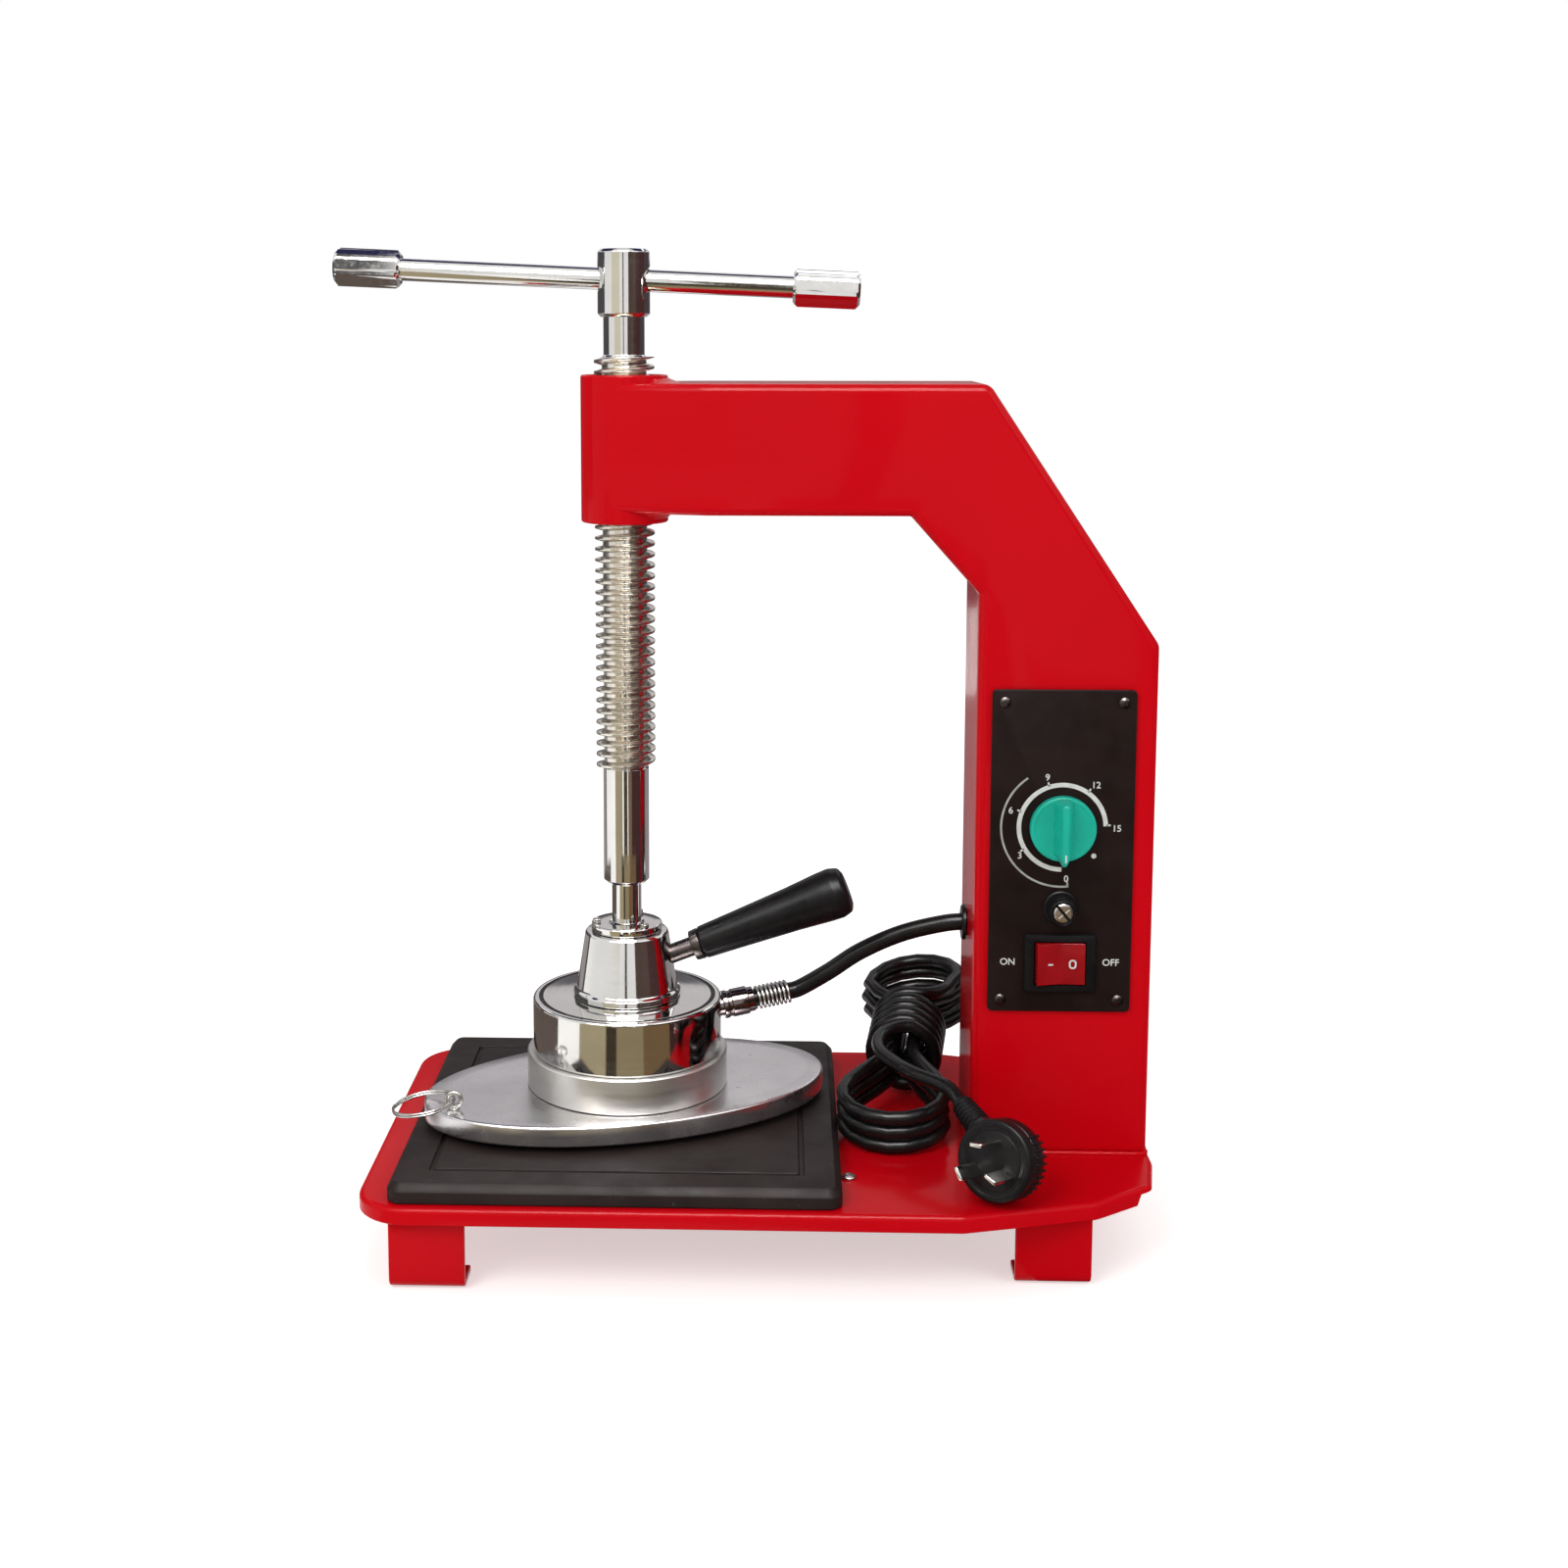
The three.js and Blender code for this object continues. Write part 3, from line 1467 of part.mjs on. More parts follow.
// The lead's route from the end of the wrap, round to the front, over the hank's front end and down to the plug's neck.
function plugLeadPoints() {
  const start = hankEnd.clone().addScaledVector(hankEndWay, seatGap);
  const end = neckEnd.clone().addScaledVector(plugNeckWay, seatGap);
  const top = wrapUp + wrapHalfHeight;
  const bend = Array.from({ length: wrapEndSteps }, (_, i) => {
    const a = (quarter * (i + 1)) / wrapEndSteps;
    const along = hankWaist - wrapHalf - wrapEndBend * (1 - Math.cos(a));
    return hankPlace(wrapLeave - wrapEndBend * Math.sin(a), along, top);
  });
  return [
    start,
    start.clone().addScaledVector(hankEndWay, mainsRadius / 2),
    ...bend,
    hankPlace(-8, 21, top + 0.7),
    hankPlace(-1, 9, top + 2),
    hankPlace(9, -4, top + 4),
    end.clone().addScaledVector(plugNeckWay, 3 * mainsRadius),
    end,
  ];
}

// Plug, drawn with its face towards +Z and its neck towards +Y

function plugBody() {
  const low = -plugDepth / 2;
  const high = plugDepth / 2;
  const body = turned([
    [0, low],
    [plugRadius - plugBackEdge, low],
    [plugRadius - plugBackEdge * bevelShare, low + plugBackEdge * bevelShare],
    [plugRadius, low + plugBackEdge],
    [plugRadius, high - plugFaceEdge],
    [plugRadius - plugFaceEdge, high],
    [0, high],
  ]);
  const neck = turned(
    [
      [0, 0],
      [plugNeckRadius, 0],
      [plugNeckRadius, plugRadius + plugNeckStraight],
      [plugNeckTip, plugRadius + plugNeckLength],
      [0, plugRadius + plugNeckLength],
    ],
    smallSides,
  ).rotate([-90 - plugLean / degree, 0, 0]);
  const slots = bladePlaces().map(([x, y, turn]) =>
    block(bladeThick + 2 * seatGap, bladeWidth + 2 * seatGap, 2 * (bladeRoot + seatGap), 0, 0, 0)
      .rotate([0, 0, turn / degree])
      .translate([x, y, high]),
  );
  return cut(join(body, neck), ...slots);
}

function bladePlaces() {
  return [
    [0, -bladeCircle, 0],
    [-bladeCircle * Math.cos(bladeTurn), bladeCircle * Math.sin(bladeTurn), -bladeTurn],
    [bladeCircle * Math.cos(bladeTurn), bladeCircle * Math.sin(bladeTurn), bladeTurn],
  ];
}

function plugBlade() {
  const tip = bladeTipRadius;
  const outline = rounded([
    [-bladeWidth / 2, -bladeRoot],
    [bladeWidth / 2, -bladeRoot],
    [bladeWidth / 2, bladeLength, tip],
    [-bladeWidth / 2, bladeLength, tip],
  ]);
  return pushed(outline, "X", -bladeThick / 2, bladeThick / 2);
}

// Assembly

const vulcanizer = new THREE.Group();

function add(mesh, group = vulcanizer) {
  group.add(mesh);
  return mesh;
}

function addBase() {
  add(piece("base_plate", redPaint, basePlate()));
  const half = baseHalfDepth - baseSheet - seatGap;
  add(piece("left_foot", redPaint, foot(-baseLeft + leftFootFromEnd, half - leftFootInset)));
  add(piece("right_foot", redPaint, foot(baseEnd - rightFootFromEnd, half - rightFootInset)));
  add(piece("press_pad", castPad, pressPad()));
  const screw = add(
    piece("base_screw", steel, panScrew(padScrewHead, padScrewHeadHeight, padScrewShank, baseSheet + baseLip / 2)),
  );
  screw.position.set(...padScrewPlace());
  screw.position.z = baseTop + seatGap;
}

function addFrame() {
  add(piece("frame_shell", redPaint, frameShell()));
  add(piece("rear_cover", redPaint, rearCover()));
  add(piece("nut_boss", redPaint, nutBoss()));
  add(piece("thread_nut", brass, threadNut()));
  add(piece("cable_grommet", blackRubber, cableGrommet()));
  add(piece("terminal_block", blackPlastic, terminalBlock()));
  coverScrewPlaces().forEach(([x, z], i) => {
    const screw = panScrew(coverScrewHead, coverScrewHeadHeight, coverScrewShank, coverScrewLength);
    const mesh = add(piece("cover_screw_" + (i + 1), steel, screw));
    mesh.position.set(x, frameBack + seatGap, z);
    mesh.rotation.x = -quarter;
  });
}

function addPanel() {
  add(piece("control_panel", blackPanel, controlPanel()));
  panelScrewPlaces().forEach(([x, z], i) => {
    const screw = panScrew(panelScrewHead, panelScrewHeadHeight, panelScrewShank, panelScrewLength);
    const mesh = add(piece("panel_screw_" + (i + 1), steel, screw));
    mesh.position.set(x, fixtureBack, z);
    mesh.rotation.x = quarter;
  });
  add(piece("timer_body", blackPlastic, timerBody()));
  add(piece("timer_shaft", steel, timerShaft()));
  add(piece("timer_knob", greenPlastic, timerKnob()));
  add(piece("fuse_holder", blackPlastic, fuseHolder()));
  add(piece("fuse_cap", blackPlastic, fuseCap()));
  add(piece("rocker_bezel", blackPlastic, rockerBezel()));
  const mesh = add(piece("rocker", redPlastic, rocker()));
  mesh.position.set(panelMiddle, -(fixtureFoot + bezelSheet - rockerPivotIn), switchHeightAt);
  mesh.rotation.z = rockerTilt;
}

function addScrew() {
  add(piece("thrust_washer", brass, sleeve(coneCavity - seatGap, washerBore, cavityFloor + seatGap, washerTop)));
  add(piece("press_screw", chrome, pressScrew()));
  const bar = new THREE.Group();
  bar.position.z = barHeight;
  bar.rotation.y = barTilt;
  vulcanizer.add(bar);
  add(piece("tommy_bar", chrome, tommyBar()), bar);
  const left = add(piece("bar_end_left", chrome, endPiece()), bar);
  left.position.x = -barLeft + endPieceLength;
  left.rotation.set(0, -quarter, -endPieceTurn, "YXZ");
  const right = add(piece("bar_end_right", chrome, endPiece()), bar);
  right.position.x = barRight - endPieceLength;
  right.rotation.set(0, quarter, endPieceTurn, "YXZ");
}

function addHead() {
  const plate = new THREE.Group();
  plate.rotation.z = plateTurn;
  vulcanizer.add(plate);
  add(piece("heater_plate", aluminium, heaterPlate()), plate);
  const eye = new THREE.Group();
  eye.position.set(-eyeAlong, -eyeAcross, 0);
  eye.rotation.z = -plateTurn;
  plate.add(eye);
  add(piece("plate_eye", steel, plateEye()), eye);
  const loop = add(piece("hanging_loop", steel, hangingLoop()), eye);
  loop.position.z = plateTop + eyeRadius + eyeWire;
  loop.rotation.y = -loopDroop;
  add(piece("heater_ring", aluminium, heaterRing()));
  add(piece("heater_drum", chrome, heaterDrum()));
  add(piece("head_cone", chrome, headCone()));
  add(piece("cone_flange", chrome, coneFlange()));
  flangeScrewAngles().forEach((a, i) => {
    const screw = panScrew(flangeScrewHead, flangeScrewHeadHeight, flangeScrewShank, flangeScrewLength);
    const mesh = add(piece("flange_screw_" + (i + 1), steel, screw));
    mesh.position.set(flangeScrewCircle * Math.cos(a), flangeScrewCircle * Math.sin(a), flangeTop + seatGap);
  });
  const elementLow = plateTop + seatGap;
  const discLow = elementLow + elementHeight + seatGap;
  const thermostatLow = discLow + discHeight + seatGap;
  add(piece("heating_element", mica, rod(elementRadius, elementLow, elementLow + elementHeight, wideSides)));
  add(piece("insulating_disc", mica, rod(elementRadius, discLow, discLow + discHeight, wideSides)));
  const thermostat = rod(thermostatRadius, thermostatLow, thermostatLow + thermostatHeight);
  add(piece("thermostat", blackPlastic, thermostat.translate([0, thermostatOff, 0])));
  const handle = alongHandle(rod(handleRodRadius, handleRodStart, gripStart + gripLength * gripRodDepthShare));
  add(piece("handle_rod", steel, handle));
  add(piece("handle_grip", blackPlastic, alongHandle(handleGrip().translate([0, 0, gripStart]))));
}

function addHeaterLead() {
  add(piece("cable_gland", chrome, alongGland(cableGland())));
  add(piece("gland_spring", steel, alongGland(glandSpring())));
  const curve = new THREE.CatmullRomCurve3(heaterLeadPoints(), false, "centripetal");
  add(piece("heater_lead", blackRubber, tubeAlong(curve, leadRadius, leadSides, 26)));
}

function addMainsLead() {
  add(piece("strain_relief", blackRubber, strainRelief()));
  const tail = new THREE.CatmullRomCurve3(tailPoints(), false, "centripetal");
  add(piece("mains_tail", blackRubber, tubeAlong(tail, mainsRadius, mainsSides, 20)));
  add(piece("mains_hank", blackRubber, strand(hankLine, mainsRadius, hankSides)));
  console.log("least gap in the hank, mm:", selfGap(hankLine, mainsRadius).toFixed(2));
  const lead = new THREE.CatmullRomCurve3(plugLeadPoints(), false, "centripetal");
  add(piece("plug_lead", blackRubber, tubeAlong(lead, mainsRadius, mainsSides, 20)));
  const plug = new THREE.Group();
  plug.matrixAutoUpdate = false;
  plug.matrix.makeBasis(plugUp.clone().cross(plugFaceWay), plugUp, plugFaceWay);
  plug.matrix.setPosition(plugMiddle);
  vulcanizer.add(plug);
  add(piece("plug_body", blackPlastic, plugBody()), plug);
  ["plug_blade_earth", "plug_blade_left", "plug_blade_right"].forEach((name, i) => {
    const [x, y, turn] = bladePlaces()[i];
    const blade = add(piece(name, brass, plugBlade()), plug);
    blade.position.set(x, y, plugDepth / 2);
    blade.rotation.z = turn;
  });
}

addBase();
addFrame();
addPanel();
addScrew();
addHead();
addHeaterLead();
addMainsLead();

// The origin is on the floor under the middle of the object's own box, from the tommy bar's left end to the base's end.
const leftmost = barLeft * Math.cos(barTilt) + (endPieceAcross / 2) * Math.sin(barTilt);
vulcanizer.position.x = -(baseEnd - leftmost) / 2;

export default vulcanizer;
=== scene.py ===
"""Blender scene of a bench press that vulcanises patches onto tyres.

Every piece is drawn in millimetres from the screw's axis, with +Z up and the column towards +X, and piece() puts
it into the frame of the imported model. Inner CAD nodes that stay in view get materials of their own at the end.
"""

import math
from math import cos, pi, sin
from math import radians as deg

import bmesh
import bpy
from mathutils import Matrix, Vector


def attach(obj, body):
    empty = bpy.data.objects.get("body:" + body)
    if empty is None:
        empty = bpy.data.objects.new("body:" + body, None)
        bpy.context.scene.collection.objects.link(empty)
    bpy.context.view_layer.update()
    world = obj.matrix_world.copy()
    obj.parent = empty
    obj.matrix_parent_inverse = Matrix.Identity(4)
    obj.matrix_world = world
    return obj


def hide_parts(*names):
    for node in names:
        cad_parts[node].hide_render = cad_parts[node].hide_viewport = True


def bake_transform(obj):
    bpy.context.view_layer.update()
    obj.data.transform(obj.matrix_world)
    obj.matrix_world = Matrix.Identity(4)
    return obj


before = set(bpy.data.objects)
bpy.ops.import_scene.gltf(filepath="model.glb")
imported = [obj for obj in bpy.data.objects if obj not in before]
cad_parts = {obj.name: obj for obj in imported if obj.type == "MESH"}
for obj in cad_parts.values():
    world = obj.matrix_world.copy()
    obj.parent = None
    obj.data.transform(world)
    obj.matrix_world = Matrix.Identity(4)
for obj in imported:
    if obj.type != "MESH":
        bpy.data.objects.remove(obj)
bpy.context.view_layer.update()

MM = 0.001
AXIS_X = -54.58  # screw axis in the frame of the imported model
DATUM = 4.6  # heights are measured from this level above the floor
TAU = 2 * pi


def place(x, y, z):
    """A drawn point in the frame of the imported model, in metres."""
    return Vector(((x + AXIS_X) * MM, y * MM, (z + DATUM) * MM))


def at(x=0, y=0, z=0):
    return Matrix.Translation((x, y, z))


def turn(degrees, axis):
    return Matrix.Rotation(deg(degrees), 4, axis)


def new_object(name, data):
    obj = bpy.data.objects.new(name, data)
    bpy.context.collection.objects.link(obj)
    return obj


# --- camera and light

CAMERA_DOWN, CAMERA_TURN = 7.27, 2  # degrees
camera_data = bpy.data.cameras.new("camera")
camera_data.lens = 47.25
camera_data.sensor_width = 36
camera_data.shift_x = 0.05
camera_data.shift_y = -0.12
camera = new_object("camera", camera_data)
camera.location = (0.01482, -0.9331, 0.4091)
camera.rotation_euler = (deg(90 - CAMERA_DOWN), 0, deg(CAMERA_TURN))
bpy.context.scene.camera = camera
bpy.context.scene.view_settings.view_transform = "Standard"

LIGHT_LEVEL = 0.62  # of the world, for all but the rays that see the white background
FLOOR_GLOW, FLOOR_COLOUR = 0.52, 0.8
FLOOR_HALF, FLOOR_DROP = 9, 0.0004  # metres
LAMP_TARGET = Vector((0, 0, 0.2))


def add(tree, kind, inputs, out=0, **settings):
    """A new node whose inputs get values or links. It gives back one of its outputs, if it has any."""
    made = tree.nodes.new(kind)
    for key, value in settings.items():
        setattr(made, key, value)
    for key, value in inputs.items():
        if isinstance(value, bpy.types.NodeSocket):
            tree.links.new(value, made.inputs[key])
        else:
            made.inputs[key].default_value = value
    return made.outputs[out] if made.outputs else None


def empty_tree(owner):
    """The node tree of a material or a world, without its first nodes."""
    owner.use_nodes = True
    owner.node_tree.nodes.clear()
    return owner.node_tree


def background_rays(tree):
    """1 for the camera's, mirrored and refracted rays, which see the plain white background."""
    seen = add(tree, "ShaderNodeLightPath", {}, "Is Camera Ray")
    for ray in ("Is Glossy Ray", "Is Transmission Ray"):
        other = add(tree, "ShaderNodeLightPath", {}, ray)
        seen = add(tree, "ShaderNodeMath", {0: seen, 1: other}, operation="MAXIMUM")
    return seen


def make_world():
    world = bpy.data.worlds.new("studio")
    bpy.context.scene.world = world
    tree = empty_tree(world)
    light = add(tree, "ShaderNodeBackground", {"Color": (1, 0.99, 0.97, 1), "Strength": LIGHT_LEVEL})
    white = add(tree, "ShaderNodeBackground", {"Color": (1, 1, 1, 1), "Strength": 1})
    mix = add(tree, "ShaderNodeMixShader", {0: background_rays(tree), 1: light, 2: white})
    add(tree, "ShaderNodeOutputWorld", {0: mix})


def sheet(name, points, faces, material):
    mesh = bpy.data.meshes.new(name)
    mesh.from_pydata(points, [], faces)
    mesh.materials.append(material)
    return new_object(name, mesh)


def make_floor():
    material = bpy.data.materials.new("floor_white")
    tree = empty_tree(material)
    diffuse = add(tree, "ShaderNodeBsdfDiffuse", {"Color": (FLOOR_COLOUR, FLOOR_COLOUR, FLOOR_COLOUR, 1)})
    level = add(tree, "ShaderNodeMath", {0: background_rays(tree), 1: FLOOR_GLOW}, operation="MULTIPLY")
    glow = add(tree, "ShaderNodeEmission", {"Strength": level})
    add(tree, "ShaderNodeOutputMaterial", {0: add(tree, "ShaderNodeAddShader", {0: diffuse, 1: glow})})
    h = FLOOR_HALF
    floor = sheet("floor", [(-h, -h, 0), (h, -h, 0), (h, h, 0), (-h, h, 0)], [(0, 1, 2, 3)], material)
    floor.location.z = -FLOOR_DROP


def add_card(name, points, faces, colour, strength=1):
    """A card that only mirrored rays see."""
    material = bpy.data.materials.new(name)
    tree = empty_tree(material)
    glow = add(tree, "ShaderNodeEmission", {"Color": (*colour, 1), "Strength": strength})
    add(tree, "ShaderNodeOutputMaterial", {0: glow})
    card = sheet(name, points, faces, material)
    card.visible_camera = False
    card.visible_diffuse = False
    card.visible_shadow = False
    card.visible_transmission = False


def round_card(name, start, end, strips, colour):
    """A part of a ring round the screw's axis. start and end are angles from the front towards +X, in degrees."""
    steps = max(1, round((end - start) / CARD_STEP))
    points, faces = [], []
    for strip in strips:
        first = len(points)
        for k in range(steps + 1):
            a = deg(start + (end - start) * k / steps)
            points += [(AXIS_X * MM + radius * sin(a), -radius * cos(a), z) for radius, z in strip]
        faces += [(i, i + 1, i + 3, i + 2) for i in range(first, first + 2 * steps, 2)]
    add_card(name, points, faces, colour)


make_world()
make_floor()
for name, location, size, power, colour in (
    ("key", (-0.9, -1.3, 1.5), (1, 1), 15, (1, 0.985, 0.96)),
    ("fill", (1.4, -1, 0.9), (1, 1.2), 6, (0.97, 0.985, 1)),
    ("back", (0.3, 1.4, 1.3), (1.4, 0.8), 6, (1, 1, 1)),
):
    data = bpy.data.lights.new(name, "AREA")
    data.shape = "RECTANGLE"
    data.size, data.size_y = size
    data.energy = power
    data.color = colour
    lamp = new_object(name, data)
    lamp.location = location
    lamp.rotation_euler = (LAMP_TARGET - Vector(location)).to_track_quat("-Z", "Y").to_euler()

CARD_STEP = 4  # degrees, of a round card's facets
# strips of a card in (radius, height), in metres: two rings on the floor, then the wall behind them
NEAR = ((0.2, 0), (0.55, 0))
FLOOR = ((0.55, 0), (1.4, 0))
CARD_LEVELS = (0, 0.1, 0.22, 0.5, 0.75, 1.2, 1.7)
FOOT, WAIST, WALL, BROW, SKY, DUSK = (((1.4, low), (1.4, high)) for low, high in zip(CARD_LEVELS, CARD_LEVELS[1:]))
LOW, HIGH = (FLOOR, FOOT), (WAIST, WALL, BROW)
for name, start, end, strips, colour in (
    ("card_left_near", -160, -83, (NEAR,), (0.14, 0.11, 0.095)),
    ("card_left", -180, -119, LOW, (0.38, 0.36, 0.36)),
    ("card_left_slim", -119, -112, LOW, (0.07, 0.065, 0.06)),
    ("card_left_high", -158, -88, HIGH, (0.09, 0.085, 0.09)),
    ("card_left_sky", -26, -14.6, (SKY, DUSK), (0.11, 0.105, 0.11)),
    ("card_tan", -52, -20, (NEAR, *LOW), (0.46, 0.39, 0.25)),
    ("card_tan_far", -20, -14, LOW, (0.46, 0.39, 0.27)),
    ("card_cream", -50, -14, (WALL, BROW), (0.8, 0.75, 0.6)),
    ("card_dark_near", -20, -8, (NEAR,), (0.06, 0.045, 0.03)),
    ("card_dark", -8, 10, LOW, (0.08, 0.065, 0.045)),
    ("card_dark_high", -1, 4, HIGH, (0.08, 0.065, 0.045)),
    ("card_olive_near", -8, 22, (NEAR,), (0.32, 0.26, 0.15)),
    ("card_brown_near", 22, 53, (NEAR,), (0.2, 0.125, 0.065)),
    ("card_brown", 14, 32, LOW, (0.22, 0.155, 0.095)),
    ("card_brown_high", 24, 58, HIGH, (0.1, 0.065, 0.055)),
    ("card_red_near", 53, 106, (NEAR,), (0.055, 0.025, 0.025)),
    ("card_red", 32, 112, LOW, (0.075, 0.032, 0.034)),
    ("card_red_high", 58, 106, HIGH, (0.075, 0.035, 0.035)),
    ("card_right", 112, 180, (NEAR, FLOOR), (0.34, 0.31, 0.32)),
    ("card_right_foot", 112, 165, (FOOT,), (0.09, 0.045, 0.045)),
    ("card_right_high", 106, 150, HIGH, (0.08, 0.065, 0.07)),
    ("card_back_high", 150, 202, (WAIST, WALL), (0.12, 0.115, 0.13)),
    ("card_back", 150, 210, (BROW, SKY), (0.66, 0.64, 0.65)),
    ("card_dusk", 120, 240, (DUSK,), (0.03, 0.03, 0.09)),
):
    round_card(name, start, end, strips, colour)

CEILING_HEIGHT, CEILING_FRONT, CEILING_BACK = 1.7, 0.22, 1.4
STRIP_HALF, STRIP_EDGES, STRIP_LEVEL = 0.5, ((-1.15, 1.05), (-0.62, 1.7)), 20  # edges in (y, z)
for name, half, edges, colour, level in (
    ("card_ceiling", CEILING_BACK, [(y, CEILING_HEIGHT) for y in (CEILING_FRONT, CEILING_BACK)], (0.03, 0.03, 0.09), 1),
    ("card_strip", STRIP_HALF, STRIP_EDGES, (1, 1, 1), STRIP_LEVEL),
):
    add_card(name, [(x, y, z) for x in (-half, half) for y, z in edges], [(0, 1, 3, 2)], colour, level)

# --- materials

PATCH_RANGE = (0.35, 0.65)  # of the noise that divides a material's two colours
NOISE_RANGE = (0.3, 0.7)
SPECK_EDGE = 0.06
LEAST_ROUGHNESS, COAT_ROUGHNESS = 0.02, 0.05


def object_place(tree, centre=(0, 0, 0)):
    here = add(tree, "ShaderNodeTexCoord", {}, "Object")
    return add(tree, "ShaderNodeMapping", {"Vector": here, "Location": [-c for c in centre]})


def turned_place(tree):
    """Coordinates that stay the same round the screw's axis, for marks left by a lathe."""
    here = object_place(tree, (AXIS_X * MM, 0, 0))
    x, y, z = (add(tree, "ShaderNodeSeparateXYZ", {0: here}, axis) for axis in "XYZ")
    flat = add(tree, "ShaderNodeCombineXYZ", {"X": x, "Y": y})
    radius = add(tree, "ShaderNodeVectorMath", {0: flat}, "Value", operation="LENGTH")
    return add(tree, "ShaderNodeCombineXYZ", {"X": radius, "Z": z})


def noise(tree, where, scale, detail=4):
    return add(tree, "ShaderNodeTexNoise", {"Vector": where, "Scale": scale, "Detail": detail}, "Fac")


def ranged(tree, value, low, high, start, end):
    limits = {"From Min": start, "From Max": end, "To Min": low, "To Max": high}
    return add(tree, "ShaderNodeMapRange", {"Value": value, **limits}, "Result")


def blended(tree, factor, first, second):
    return add(tree, "ShaderNodeMix", {"Factor": factor, "A": first, "B": second}, "Result", data_type="RGBA")


def surface(
    name, colour, tint, gloss, scales, grain, metallic=0, specular=0.5, coat=0, turned=False, specks=None
):
    """A material of two close colours in patches, with uneven gloss and a fine grain.

    gloss is the roughness and its swing, scales are those of the patches, the swing and the grain, grain is its
    strength and its depth in mm, and specks are a colour, a scale and where in the noise they start.
    """
    material = bpy.data.materials.new(name)
    material.use_nodes = True
    tree = material.node_tree
    shader = tree.nodes["Principled BSDF"]
    plain = object_place(tree)
    marks = turned_place(tree) if turned else plain
    patches = ranged(tree, noise(tree, plain, scales[0]), 0, 1, *PATCH_RANGE)
    base = blended(tree, patches, (*colour, 1), (*tint, 1))
    if specks:
        speck_colour, speck_scale, start = specks
        speck = ranged(tree, noise(tree, object_place(tree), speck_scale, 2), 0, 1, start, start + SPECK_EDGE)
        base = blended(tree, speck, base, (*speck_colour, 1))
    roughness, swing = gloss
    low, high = max(roughness - swing, LEAST_ROUGHNESS), roughness + swing
    uneven = ranged(tree, noise(tree, marks, scales[1]), low, high, *NOISE_RANGE)
    height = noise(tree, marks, scales[2], 3)
    bump = add(tree, "ShaderNodeBump", {"Strength": grain[0], "Distance": grain[1] * MM, "Height": height})
    for socket, link in (("Base Color", base), ("Roughness", uneven), ("Normal", bump)):
        tree.links.new(link, shader.inputs[socket])
    shader.inputs["Metallic"].default_value = metallic
    shader.inputs["Specular IOR Level"].default_value = specular
    shader.inputs["Coat Weight"].default_value = coat
    shader.inputs["Coat Roughness"].default_value = COAT_ROUGHNESS
    return material


RED_PAINT = surface(
    "red_paint", (0.61, 0.0015, 0.007), (0.57, 0.0013, 0.0065), (0.2, 0.04), (9, 35, 190), (0.1, 0.04),
    specular=0.055, coat=0.05,
)
CHROME = surface(
    "chrome", (0.72, 0.705, 0.685), (0.66, 0.65, 0.63), (0.08, 0.04), (60, 400, 2500), (0.05, 0.01), 1,
    turned=True,
)
THREAD_STEEL = surface(
    "thread_steel", (0.74, 0.7, 0.64), (0.6, 0.565, 0.51), (0.2, 0.08), (120, 300, 3000), (0.1, 0.01), 1,
    turned=True, specks=((0.35, 0.3, 0.25), 900, 0.66),
)
STEEL = surface(
    "steel", (0.52, 0.51, 0.49), (0.42, 0.41, 0.39), (0.28, 0.08), (80, 300, 2200), (0.1, 0.02), 1,
)
PLATE_METAL = surface(
    "plate_metal", (0.76, 0.74, 0.745), (0.58, 0.565, 0.575), (0.27, 0.07), (18, 45, 1800), (0.08, 0.02),
    1, specks=((0.45, 0.44, 0.44), 260, 0.71),
)
RING_METAL = surface(
    "ring_metal", (0.62, 0.61, 0.585), (0.54, 0.53, 0.505), (0.34, 0.07), (40, 260, 1600), (0.25, 0.03),
    1, turned=True,
)
PAD_BLACK = surface(
    "pad_black", (0.019, 0.013, 0.0125), (0.028, 0.02, 0.019), (0.45, 0.1), (35, 60, 1300), (0.3, 0.06),
    specular=0.09, specks=((0.06, 0.05, 0.048), 800, 0.69),
)
PANEL_BLACK = surface(
    "panel_black", (0.012, 0.006, 0.005), (0.018, 0.009, 0.008), (0.42, 0.08), (50, 120, 3500),
    (0.2, 0.02), specular=0.1,
)
BLACK_PLASTIC = surface(
    "black_plastic", (0.007, 0.0065, 0.007), (0.012, 0.011, 0.0115), (0.3, 0.08), (60, 150, 2600),
    (0.15, 0.02), specular=0.13,
)
CORD_BLACK = surface(
    "cord_black", (0.006, 0.0055, 0.0055), (0.012, 0.011, 0.011), (0.26, 0.07), (45, 110, 1900),
    (0.15, 0.03), specular=0.2,
)
KNOB_GREEN = surface(
    "knob_green", (0.01, 0.49, 0.36), (0.008, 0.43, 0.315), (0.34, 0.06), (90, 180, 2400),
    (0.15, 0.03), specular=0.2,
)
ROCKER_RED = surface(
    "rocker_red", (0.33, 0.004, 0.007), (0.28, 0.003, 0.006), (0.24, 0.05), (110, 150, 2000),
    (0.1, 0.03), specular=0.15, coat=0.05,
)
PRINT_WHITE = surface(
    "print_white", (0.72, 0.72, 0.7), (0.6, 0.6, 0.58), (0.5, 0.06), (300, 200, 2500), (0.15, 0.02),
)
PRINT_GREY = surface(
    "print_grey", (0.42, 0.42, 0.39), (0.32, 0.32, 0.3), (0.5, 0.06), (300, 200, 2500), (0.15, 0.02),
)
NICKEL = surface(
    "nickel", (0.78, 0.77, 0.73), (0.68, 0.66, 0.62), (0.16, 0.06), (200, 300, 2600), (0.08, 0.02), 1,
)
BRASS = surface(
    "brass", (0.66, 0.46, 0.18), (0.56, 0.38, 0.15), (0.3, 0.07), (90, 300, 2000), (0.12, 0.02), 1,
    turned=True,
)
